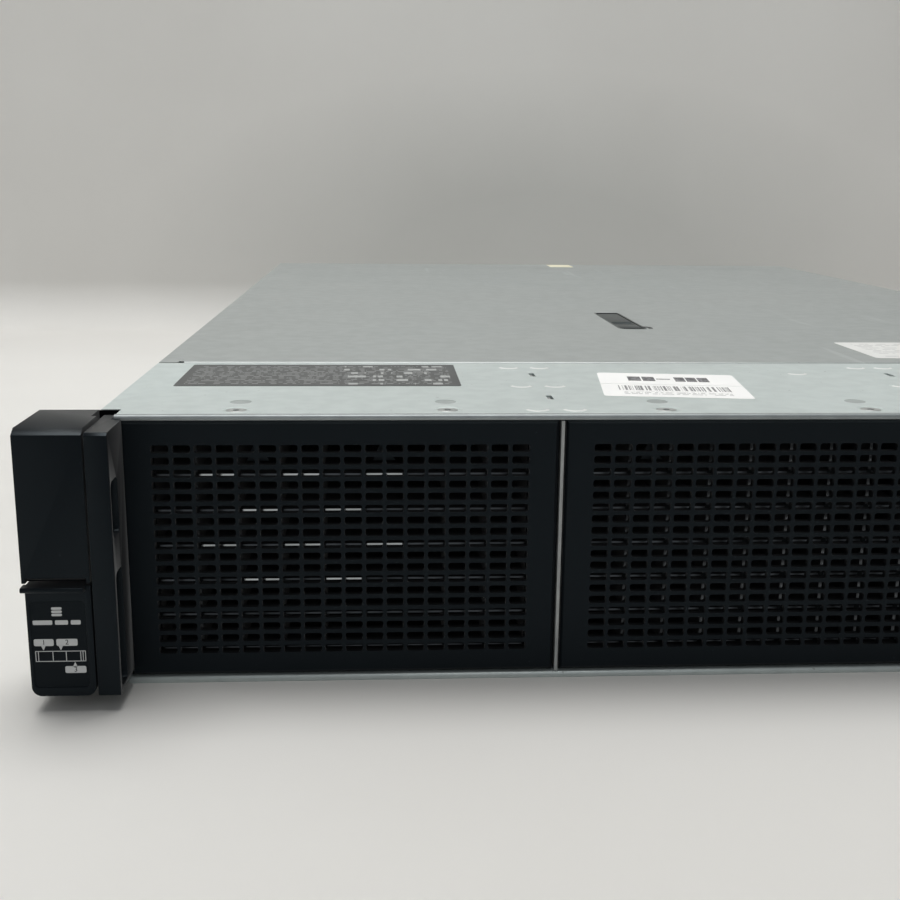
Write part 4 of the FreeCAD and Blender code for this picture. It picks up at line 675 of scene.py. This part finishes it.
lid_paper, tree, shader = new_material("lid_label_paper")
lid_x, lid_y, lid_wide, lid_deep = LID_LABEL
x, y = label_place(tree, (lid_x + lid_wide / 2, lid_y + lid_deep / 2), 0.0)
fine = times(tree, printed(tree, x, y, 4.2 * MM, 4.0 * MM, 0.52), between(tree, x, -44.0 * MM, 42.0 * MM))
tone = ramp(tree, noise(tree, 30.0, 5.0), (0.3, (0.72, 0.73, 0.71)), (0.7, (0.78, 0.785, 0.765)))
tone = mixed(tree, times(tree, times(tree, fine, between(tree, y, -20.0 * MM, 20.0 * MM)), 0.35), tone,
             (0.25, 0.25, 0.26))
tree.links.new(tone, shader.inputs["Base Color"])
shader.inputs["Roughness"].default_value = 0.5
bm = bmesh.new()
plate(bm, rounded_corners(lid_x, lid_x + lid_wide, lid_y, lid_y + lid_deep, 2.0 * MM), [], SKIN + LABEL, SKIN)
carried(made("lid_label", bm, lid_paper), "cover", "lens_plastic")

cream_paper = clouded("cream_tape", (50.0, 4.0), (0.3, (0.74, 0.70, 0.52)), (0.7, (0.84, 0.81, 0.64)), 0.6)
bm = bmesh.new()
plate(bm, rounded_corners(*LID_TAPE, 0.8 * MM), [], SKIN + LABEL, SKIN)
carried(made("lid_tape", bm, cream_paper), "cover", "lens_plastic")


# ---- Cover latch
# A moulded tub sunk in the lid holds a long handle that hinges at the rear and lifts at the front,
# where the tub is open for a finger. A small hook of the catch shows beside its front corner.
BLACK_DEEP = (0.0030, 0.0040, 0.0058)
BLACK_WORN = (0.0048, 0.0060, 0.0080)
CUP_RIM = 0.9 * MM
CUP_DEEP = 9.8 * MM
HANDLE_FRONT = LATCH_Y[0] + 6.0 * MM
HANDLE_TOP = TOP - 0.3 * MM
HANDLE_LOW = TOP - 6.3 * MM
HANDLE_SIDE = 1.3 * MM
DISH = (LATCH_Y[0] + 18.0 * MM, LATCH_Y[0] + 31.2 * MM)
PIN_Y = cup_high.y - 8.6 * MM
PIN_Z = TOP - 3.3 * MM
HOOK = ((-0.6, 2.0, 6.8, 9.0), (1.2, 3.4, 2.6, 7.6))

GRAIN, entry, leave = new_group("moulded_grain", ["Scale"], ["Height", "Tone", "Dust"])
scale = entry.outputs["Scale"]
GRAIN.links.new(noise(GRAIN, scale, 2.0), leave.inputs["Height"])
cloud = ramp(GRAIN, noise(GRAIN, times(GRAIN, scale, 0.006), 5.0), (0.35, 0.0), (0.70, 1.0))
GRAIN.links.new(cloud, leave.inputs["Tone"])
dust = ramp(GRAIN, noise(GRAIN, times(GRAIN, scale, 0.16), 2.0), (0.74, 0.0), (0.78, 1.0))
GRAIN.links.new(dust, leave.inputs["Dust"])


def moulded(name, deep, worn, roughness, scale=2600.0, grain=0.10):
    """Moulded plastic: fine grain, cloudy wear and a little dust."""
    material, tree, shader = new_material(name)
    marks = placed(tree, GRAIN, Scale=scale)
    tone = mixed(tree, marks["Tone"], deep, worn)
    tone = mixed(tree, times(tree, marks["Dust"], 0.22), tone, tuple(min(1.0, 5.0 * c + 0.02) for c in worn))
    tree.links.new(tone, shader.inputs["Base Color"])
    shine = ramp(tree, marks["Tone"], (0.0, roughness), (1.0, roughness + 0.10))
    tree.links.new(shine, shader.inputs["Roughness"])
    shader.inputs["Specular IOR Level"].default_value = 0.17
    shader.inputs["Specular Tint"].default_value = (0.72, 0.90, 1.0, 1.0)
    shader.inputs["Sheen Weight"].default_value = 0.18
    shader.inputs["Sheen Roughness"].default_value = 0.35
    bumped(tree, shader, marks["Height"], grain, 0.0001)
    return material


BLACK = moulded("black_housing_plastic", BLACK_DEEP, BLACK_WORN, 0.32)
CUP_GREY = moulded("latch_grey_plastic", (0.045, 0.052, 0.050), (0.064, 0.072, 0.070), 0.40)
bm = bmesh.new()
rim = [bm.verts.new((x, y, TOP - 0.15 * MM)) for x, y in rounded_corners(*LATCH_X, *LATCH_Y, LATCH_ROUND)]
drawn_out(bm, [bm.faces.new(rim)], (0, 0, -CUP_DEEP - 1.0 * MM))
upper = max(bm.faces, key=lambda f: f.calc_center_median().z)
bmesh.ops.inset_region(bm, faces=[upper], thickness=CUP_RIM, use_even_offset=True)
upper = [f for f in bm.faces if len(f.verts) > 8 and f.calc_center_median().z > TOP - 1.0 * MM
         and f.calc_area() > 0.5 * (LATCH_X[1] - LATCH_X[0]) * (LATCH_Y[1] - LATCH_Y[0])]
drawn = bmesh.ops.extrude_discrete_faces(bm, faces=upper)["faces"]
bmesh.ops.translate(bm, vec=(0, 0, -CUP_DEEP), verts=list({v for f in drawn for v in f.verts}))
carried(smoothed(made("latch_cup_shown", bm, CUP_GREY)), "cover", "black_plastic", "latch_cup")

bm = bmesh.new()
x0, x1 = LATCH_X[0] + HANDLE_SIDE, LATCH_X[1] - HANDLE_SIDE
block(bm, (x0, HANDLE_FRONT, HANDLE_LOW), (x1, PIN_Y + 0.3 * MM, HANDLE_TOP))
for y in DISH:
    bmesh.ops.bisect_plane(bm, geom=bm.verts[:] + bm.edges[:] + bm.faces[:], plane_co=(0, y, 0),
                           plane_no=(0, 1, 0))
dish = [f for f in bm.faces if f.normal.z > 0.9 and DISH[0] < f.calc_center_median().y < DISH[1]]
bmesh.ops.inset_region(bm, faces=dish, thickness=1.2 * MM, depth=-0.9 * MM)
edges = [e for e in bm.edges if len(e.link_faces) == 2 and e.calc_face_angle(0) > 0.5]
bmesh.ops.bevel(bm, geom=edges, offset=0.5 * MM, segments=2, profile=0.5, affect="EDGES",
                clamp_overlap=True, material=-1)
for radius, left, right in ((2.2 * MM, x0, x1), (1.5 * MM, *LATCH_X)):
    turned(bm, [(0.0, 0.0), (radius, 0.0), (radius, right - left), (0.0, right - left)],
           (left, PIN_Y, PIN_Z), steps=20, tilt=Matrix.Rotation(radians(90), 4, "Y"))
HANDLE_GREY = moulded("latch_handle_plastic", (0.034, 0.041, 0.040), (0.048, 0.056, 0.054), 0.36)
carried(smoothed(made("latch_handle_shown", bm, HANDLE_GREY)), "latch", "release_plastic", "latch_handle")

bm = bmesh.new()
for x0, x1, y0, y1 in HOOK:
    block(bm, (LATCH_X[1] + x0 * MM, LATCH_Y[0] + y0 * MM, SKIN),
          (LATCH_X[1] + x1 * MM, LATCH_Y[0] + y1 * MM, TOP), 0.1 * MM)
carried(smoothed(made("latch_hook", bm, BLACK)), "cover", "black_plastic")


# ---- Grille plates
# Each box without drives is closed by one moulded plate with 18 by 18 small oblong holes. The plate has
# a plain border, a sloped rim along its face and round corners in each hole. The upper rim slope takes a
# lighter plastic as a painted highlight.
HOLES = (18, 18)
GRILLE_SIDE = 8.45 * MM
GRILLE_TOP = 6.8 * MM
GRILLE_BOTTOM = 6.4 * MM
HOLE_BARS = (1.06 * MM, 1.36 * MM)
HOLE_CORNER = 0.75 * MM
RIM_SLOPE = 0.8 * MM


def field_of(node):
    """The pierced field of a grille: its two corners on the face."""
    low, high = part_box(node)
    return (Vector((low.x + GRILLE_SIDE, low.y, low.z + GRILLE_BOTTOM)),
            Vector((high.x - GRILLE_SIDE, low.y, high.z - GRILLE_TOP)))


def pierced(low, high, field, counts, bars):
    """A slab with rows of openings: a grid's cells are inset, opened and drawn back."""
    size, middle = field[1] - field[0], (field[0] + field[1]) / 2
    squeeze = bars[0] / bars[1]
    bm = bmesh.new()
    stand = Matrix.Rotation(radians(90), 4, "X") @ Matrix.Diagonal((size.x / 2, size.z * squeeze / 2, 1, 1))
    bmesh.ops.create_grid(bm, x_segments=counts[0], y_segments=counts[1], size=1.0, matrix=stand)
    openings = bm.faces[:]
    bmesh.ops.inset_individual(bm, faces=openings, thickness=bars[0] / 2, use_even_offset=True)
    bmesh.ops.delete(bm, geom=openings, context="FACES")
    bmesh.ops.scale(bm, vec=(1, 1, 1 / squeeze), verts=bm.verts)
    bmesh.ops.translate(bm, vec=(middle.x, low.y, middle.z), verts=bm.verts)

    def on_rim(v):
        return (abs(v.co.x - middle.x) > size.x / 2 - 1e-6, abs(v.co.z - middle.z) > size.z / 2 - 1e-6)

    rim = [e for e in bm.edges if e.is_boundary and all(any(on_rim(v)) for v in e.verts)]
    drawn = bmesh.ops.extrude_edge_only(bm, edges=rim)["geom"]
    for v in [item for item in drawn if isinstance(item, bmesh.types.BMVert)]:
        across, along = on_rim(v)
        if across:
            v.co.x = low.x if v.co.x < middle.x else high.x
        if along:
            v.co.z = low.z if v.co.z < middle.z else high.z
    drawn_out(bm, bm.faces[:], (0, high.y - low.y, 0))
    return bm


GRILLE_BLACK = moulded("black_grille_plastic", (0.0030, 0.0042, 0.0060), (0.0046, 0.0062, 0.0084), 0.42)
RIM_HIGHLIGHT_AND_GUSSET = moulded("rim_highlight_and_gusset_plastic", (0.030, 0.036, 0.040), (0.045, 0.052, 0.058), 0.40)
for node in ("left_grille", "middle_grille"):
    low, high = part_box(node)
    field = field_of(node)
    bm = pierced(low, high, field, HOLES, HOLE_BARS)
    through = [e for e in bm.edges if abs(e.verts[0].co.y - e.verts[1].co.y) > 1.0 * MM
               and field[0].x < e.verts[0].co.x < field[1].x and field[0].z < e.verts[0].co.z < field[1].z]
    bmesh.ops.bevel(bm, geom=through, offset=HOLE_CORNER, segments=3, profile=0.5, affect="EDGES",
                    clamp_overlap=True, material=-1)
    outer = [e for e in bm.edges if all(abs(v.co.y - low.y) < 1e-6 for v in e.verts) and all(
        min(v.co.x - low.x, high.x - v.co.x, v.co.z - low.z, high.z - v.co.z) < 1e-6 for v in e.verts)]
    bmesh.ops.bevel(bm, geom=outer, offset=RIM_SLOPE, segments=1, profile=0.5, affect="EDGES",
                    clamp_overlap=True, material=-1)
    # Painted highlight: faces on the upper rim slope take the lighter plastic.
    for face in bm.faces:
        face.material_index = int(face.normal.z > 0.3 and face.normal.y < -0.3
                                  and face.calc_center_median().z > high.z - RIM_SLOPE)
    plate_piece = made(node + "_plate", bm, GRILLE_BLACK, RIM_HIGHLIGHT_AND_GUSSET)
    carried(smoothed(plate_piece, 40), "chassis", "black_plastic", node)


# ---- Guides behind the grilles
# An egg-crate of thin black walls guides the air behind each plate. Its shelves and walls end in steel
# noses, painted dark as shade, and painted bright as lit in ten cells of the left guide. Small gussets
# hang in its top row.
CELLS = (9, 6)
CELL_WALL = 0.9 * MM
EDGE_DEEP = 1.2 * MM
NOSE_LEAN = 0.16 * MM
SET_BACK = 3.8 * MM
PAINTED_LIT_CELLS = {(1, 1), (3, 1), (5, 1), (2, 2), (4, 2), (1, 3), (3, 3), (5, 3), (2, 4), (4, 4)}
GUSSETS = {"left_grille": (5, 11), "middle_grille": (3,)}
GUSSET = 5.6 * MM
GUSSET_THICK = 1.0 * MM

GUIDE_BLACK = moulded("black_guide_plastic", (0.0060, 0.0068, 0.0075), (0.0095, 0.0105, 0.0115), 0.5)
# Painted light: the noses' steel comes as a dark painted-shade copy and a bright painted-lit copy.
shaded_nose_paint = clouded("steel_nose_painted_shade", (40.0, 3.0), (0.35, (0.045, 0.05, 0.055)), (0.65, (0.12, 0.13, 0.14)),
                    0.30, 0.8)
lit_nose_paint = clouded("steel_nose_painted_lit", (60.0, 3.0), (0.35, (0.36, 0.37, 0.36)), (0.60, (0.51, 0.52, 0.51)),
                      0.15, 1.0)

dull, bright, ribs = bmesh.new(), bmesh.new(), bmesh.new()
for node, gussets in GUSSETS.items():
    core = node + "_core"
    low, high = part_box(core)
    field = field_of(node)
    face = low.y + SET_BACK
    bm = pierced(low + Vector((0, SET_BACK + NOSE_LEAN, 0)), high, field, CELLS, (CELL_WALL, CELL_WALL))
    left, right = field[0].x, field[1].x
    for x0, x1, z0, z1 in ((low.x, left, low.z, high.z), (right, high.x, low.z, high.z),
                           (left, right, low.z, field[0].z), (left, right, field[1].z, high.z)):
        block(bm, (x0, low.y, z0), (x1, face + NOSE_LEAN, z1))
    carried(made(core + "_shown", bm, GUIDE_BLACK), "chassis", "black_plastic", core)
    wide, tall = (field[1].x - field[0].x) / CELLS[0], (field[1].z - field[0].z) / CELLS[1]
    for cell in range(CELLS[0]):
        for shelf in range(1, CELLS[1] + 1):
            lit = node == "left_grille" and (cell, shelf) in PAINTED_LIT_CELLS
            x, z = field[0].x + cell * wide, field[1].z - shelf * tall
            nose = block(bright if lit else dull, (x + CELL_WALL, face, z - CELL_WALL / 4),
                         (x + wide - CELL_WALL, face + EDGE_DEEP, z + CELL_WALL / 3))
            for v in nose:
                if v.co.y < face + NOSE_LEAN and v.co.z > z:
                    v.co.y += NOSE_LEAN
            if cell:
                block(dull, (x - CELL_WALL / 2 - 0.04 * MM, face, z + CELL_WALL),
                      (x + CELL_WALL / 2 + 0.04 * MM, face + EDGE_DEEP, z + tall - CELL_WALL))
    column = (field[1].x - field[0].x) / HOLES[0]
    for k in gussets:
        x, z = field[0].x + k * column, field[1].z - 1.0 * MM
        corners_xz = ((x - 0.2 * GUSSET, z), (x - 0.62 * GUSSET, z - GUSSET), (x + 0.62 * GUSSET, z - GUSSET))
        gusset = ribs.faces.new([ribs.verts.new((px, low.y + 2.0 * MM, pz)) for px, pz in corners_xz])
        drawn_out(ribs, [gusset], (0, GUSSET_THICK, 0))
carried(made("guide_gussets", ribs, RIM_HIGHLIGHT_AND_GUSSET), "chassis", "black_plastic")
carried(made("guide_edges_painted_shade", dull, shaded_nose_paint), "chassis", "bright_steel")
carried(made("guide_edges_painted_lit", bright, lit_nose_paint), "chassis", "bright_steel")


# ---- Ears
# Black moulded ears stand in front of the rack's rails: an inner base with a strip beside the boxes, an
# outer cap, and a quick release lever in a hollow below the cap. Their edges are softly rounded. Matt
# black blocks in the slot and notch between the ears and the chassis are painted shade.
EAR_SOFT = 0.45 * MM
EAR_SHADE_BLOCKS = ((220.9, 222.9, -0.3, 10.0, 82.0), (216.3, 223.3, 10.0, 10.9, 86.9))
for side in ("left", "right"):
    softened(side + "_ear_base", "chassis", "black_plastic", BLACK, EAR_SOFT)
    softened(side + "_ear_cap", "chassis", "black_plastic", BLACK, EAR_SOFT, 3)
    softened(side + "_lever", side + "_lever", "black_plastic", BLACK, EAR_SOFT)
    softened(side + "_captive_screw", "chassis", "bright_steel", screw_steel, 0.25 * MM)
    finished(screw_steel, side + "_lever_pin")
bm = bmesh.new()
for sign in (-1, 1):
    for near, far, front, back, top in EAR_SHADE_BLOCKS:
        x0, x1 = sorted((sign * near * MM, sign * far * MM))
        block(bm, (x0, FRONT + front * MM, 5.2 * MM), (x1, FRONT + back * MM, top * MM))
# Painted shade: these matt black blocks stand for the shade in the deep slot and notch.
shade_block_black = clouded("matt_black_painted_shade", (300.0, 3.0), (0.35, (0.0015, 0.0020, 0.0028)),
                    (0.65, (0.0030, 0.0038, 0.0048)), 0.7, specular=0.06)
carried(made("ear_shade_blocks", bm, shade_block_black), "chassis", "black_plastic")


# ---- Lever label
# A dull film fills the sunk field of the left lever. Its white print shows a drum for the drives, three
# plain bars, and the three drive boxes with a numbered tag for each.
PRINT_RAISE = 0.06 * MM
FIELD_SUNK = 0.4 * MM
LIP_OUT = 2.2 * MM
FIELD = (-239.5, -223.2, 8.35, 35.05)
lever_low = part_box("left_lever")[0]
FILM_FACE = lever_low.y + LIP_OUT + FIELD_SUNK
PRINT_FACE = FILM_FACE - 0.08 * MM
label_film = moulded("lever_label_film", (0.0030, 0.0040, 0.0055), (0.0042, 0.0054, 0.0070), 0.5)
white_print = moulded("lever_label_print", (0.60, 0.61, 0.61), (0.66, 0.67, 0.67), 0.5)


def upright(x, z, face):
    """The matrix that stands flat print up on a front face, at a place."""
    return Matrix.Translation((x, face, z)) @ Matrix.Rotation(radians(90), 4, "X")


def patch(bm, outline):
    """A flat patch of print on the lever's face, from its outline across and up."""
    known = set(bm.verts)
    plate(bm, outline, [], PRINT_RAISE, 0.0)
    fresh = [v for v in bm.verts if v not in known]
    bmesh.ops.transform(bm, matrix=upright(0, 0, PRINT_FACE), verts=fresh)


def slab(bm, x0, x1, z0, z1, radius=0.0):
    """A round-cornered patch, in millimetres from the field's left edge and from the ground."""
    sides = (v * MM for v in (FIELD[0] + x0, FIELD[0] + x1, z0, z1))
    patch(bm, rounded_corners(*sides, radius * MM, 3))


bm = bmesh.new()
field = [v * MM for v in (FIELD[0] + 0.35, FIELD[1] - 0.35, FIELD[2], FIELD[3])]
plate(bm, rounded_corners(*field, 1.3 * MM), [], 0.08 * MM, 0.0)
bmesh.ops.transform(bm, matrix=upright(0, 0, FILM_FACE), verts=bm.verts)
carried(made("left_lever_film", bm, label_film), "left_lever", "module_laminate")

TAGS = ((0.5, 6.3, 22.3), (7.1, 13.3, 22.3), (9.2, 15.4, 13.6))
bm = bmesh.new()
for z in (30.6, 31.6, 32.6):
    slab(bm, 6.2, 9.3, z, z + 0.8, 0.38)
for x0, x1 in ((0.6, 6.3), (7.1, 10.9), (11.7, 14.6)):
    slab(bm, x0, x1, 27.9, 29.3, 0.3)
for x0, x1, z in TAGS:
    slab(bm, x0, x1, z - 1.1, z + 1.1, 0.45)
for x, base, tip in ((3.2, 21.3, 19.8), (8.3, 21.3, 19.8), (12.2, 14.5, 16.0)):
    patch(bm, [(x * MM + FIELD[0] * MM + side * MM, base * MM) for side in (-0.7, 0.7)]
          + [(x * MM + FIELD[0] * MM, tip * MM)])
for z in (16.2, 19.4):
    slab(bm, 0.7, 15.5, z, z + 0.22)
for x in (0.7, 1.5, 5.75, 9.65, 13.9, 14.6, 15.3):
    slab(bm, x, x + 0.22, 16.3, 19.5)
carried(made("left_lever_print", bm, white_print), "left_lever", "lens_plastic")

for k, (x0, x1, z) in enumerate(TAGS):
    name = "box_number_" + str(k + 1)
    data = bpy.data.curves.new(name, "FONT")
    data.body = str(k + 1)
    data.size = 2.2 * MM
    data.align_x = "CENTER"
    data.align_y = "CENTER"
    shape = linked(name + "_outline", data)
    bpy.context.view_layer.update()
    mesh = bpy.data.meshes.new_from_object(shape.evaluated_get(bpy.context.evaluated_depsgraph_get()))
    bpy.data.objects.remove(shape)
    mesh.transform(upright((FIELD[0] + (x0 + x1) / 2) * MM, z * MM, PRINT_FACE - PRINT_RAISE - 0.02 * MM))
    mesh.materials.append(label_film)
    carried(linked(name, mesh), "left_lever", "black_plastic")


# ---- Buttons and lamps of the right ear
# A round power button and a flat locator button stand flush in the right cap, with three small clear
# lamp windows between them.
lens = clouded("lamp_window", (500.0, 2.0), (0.3, (0.30, 0.33, 0.33)), (0.7, (0.40, 0.43, 0.43)), 0.18)
BUTTON_GREY = moulded("button_plastic", (0.030, 0.033, 0.036), (0.040, 0.043, 0.046), 0.35)
softened("power_button", "power_button", "button_plastic", BUTTON_GREY, 0.5 * MM)
softened("locator_button", "locator_button", "button_plastic", BUTTON_GREY, 0.4 * MM)
softened("status_lenses", "chassis", "lens_plastic", lens, 0.2 * MM)


# ---- Drive box
# The third box takes drives that stand upright in a steel cage. Two bays hold drives with an ejector
# lever and a release button; plain fillers close the rest. A backplane board ends the cage.
CARRIER = moulded("carrier_plastic", (0.012, 0.013, 0.015), (0.020, 0.021, 0.023), 0.42)
RELEASE = moulded("release_plastic", (0.060, 0.066, 0.075), (0.075, 0.082, 0.092), 0.36)
for drive in ("drive_1", "drive_2"):
    softened(drive, drive, "carrier_plastic", CARRIER, 0.3 * MM)
    softened(drive + "_ejector", "ejector_" + drive[-1], "carrier_plastic", CARRIER, 0.3 * MM)
    softened(drive + "_release", "drive_release_" + drive[-1], "release_plastic", RELEASE, 0.4 * MM)
softened("drive_blanks", "chassis", "carrier_plastic", CARRIER, 0.3 * MM)


# ---- Boards
# Green-grey laminate carries the backplane's and the system board's tracks, which show as fine lighter
# lines under the lacquer.
BOARD, tree, shader = new_material("board_laminate")
tracks = ramp(tree, noise(tree, 260.0, 3.0, (1.0, 0.2, 1.0)), (0.54, 0.0), (0.56, 1.0))
cloud = ramp(tree, noise(tree, 20.0, 3.0), (0.3, (0.012, 0.045, 0.030)), (0.7, (0.016, 0.058, 0.038)))
tone = mixed(tree, times(tree, tracks, 0.5), cloud, (0.035, 0.11, 0.07))
tree.links.new(tone, shader.inputs["Base Color"])
shader.inputs["Roughness"].default_value = 0.4
finished(BOARD, "drive_backplane", "system_board", "memory_modules")


# ---- Port strip
# A narrow upright moulding at the right holds two serial bus ports and the thin pull-out tab, both with
# softly rounded edges.
softened("port_strip", "chassis", "black_plastic", BLACK, 0.3 * MM)
softened("serial_tab", "serial_tab", "black_plastic", RELEASE, 0.25 * MM)


# ---- Rear of the chassis
# The rear wall frames two hot-plug supplies, the slot covers and the shells of the board's ports. The
# supplies have a fan duct, a power inlet, a loop handle and a sprung release tab each.
PORT_STEEL = zinc_sheet("port_shell_steel", (0.50, 0.52, 0.52), (0.42, 0.44, 0.44), 0.32, 0.10)
SUPPLY_ZINC = zinc_sheet("supply_case_sheet", (0.56, 0.60, 0.59), (0.50, 0.54, 0.53), 0.42, 0.20)
softened("slot_covers", "chassis", "galvanised_steel", ZINC, 0.2 * MM)
softened("rear_ports", "chassis", "bright_steel", PORT_STEEL, 0.2 * MM)
for unit in ("1", "2"):
    softened("supply_" + unit, "supply_" + unit, "cover_steel", SUPPLY_ZINC, 0.35 * MM)
    softened("supply_" + unit + "_release", "supply_release_" + unit, "release_plastic", RELEASE, 0.4 * MM)


# ---- Fans
# Six black plastic fans stand in a cage across the chassis, and a small one sits in each supply. The
# rotors keep the CAD model's own shape.
FAN = moulded("fan_plastic", (0.012, 0.013, 0.014), (0.020, 0.021, 0.022), 0.45)
softened("fan_frames", "chassis", "fan_plastic", FAN, 0.3 * MM)
for fan in range(1, 7):
    finished(FAN, "fan_" + str(fan) + "_rotor")
for unit in ("1", "2"):
    finished(FAN, "supply_" + unit + "_rotor")


# ---- Heatsinks and air baffle
# Bare aluminium fins stand on the two processors, under a dark grey moulded baffle. Both keep the CAD
# model's own shape.
aluminium = clouded("bare_aluminium", (220.0, 3.0, (1.0, 0.06, 1.0)),
                    (0.35, (0.60, 0.61, 0.62)), (0.65, (0.70, 0.71, 0.72)), 0.36, 0.85)
finished(aluminium, "heatsinks")
BAFFLE = moulded("air_baffle_plastic", (0.020, 0.021, 0.023), (0.030, 0.031, 0.033), 0.4)
finished(BAFFLE, "air_baffle")
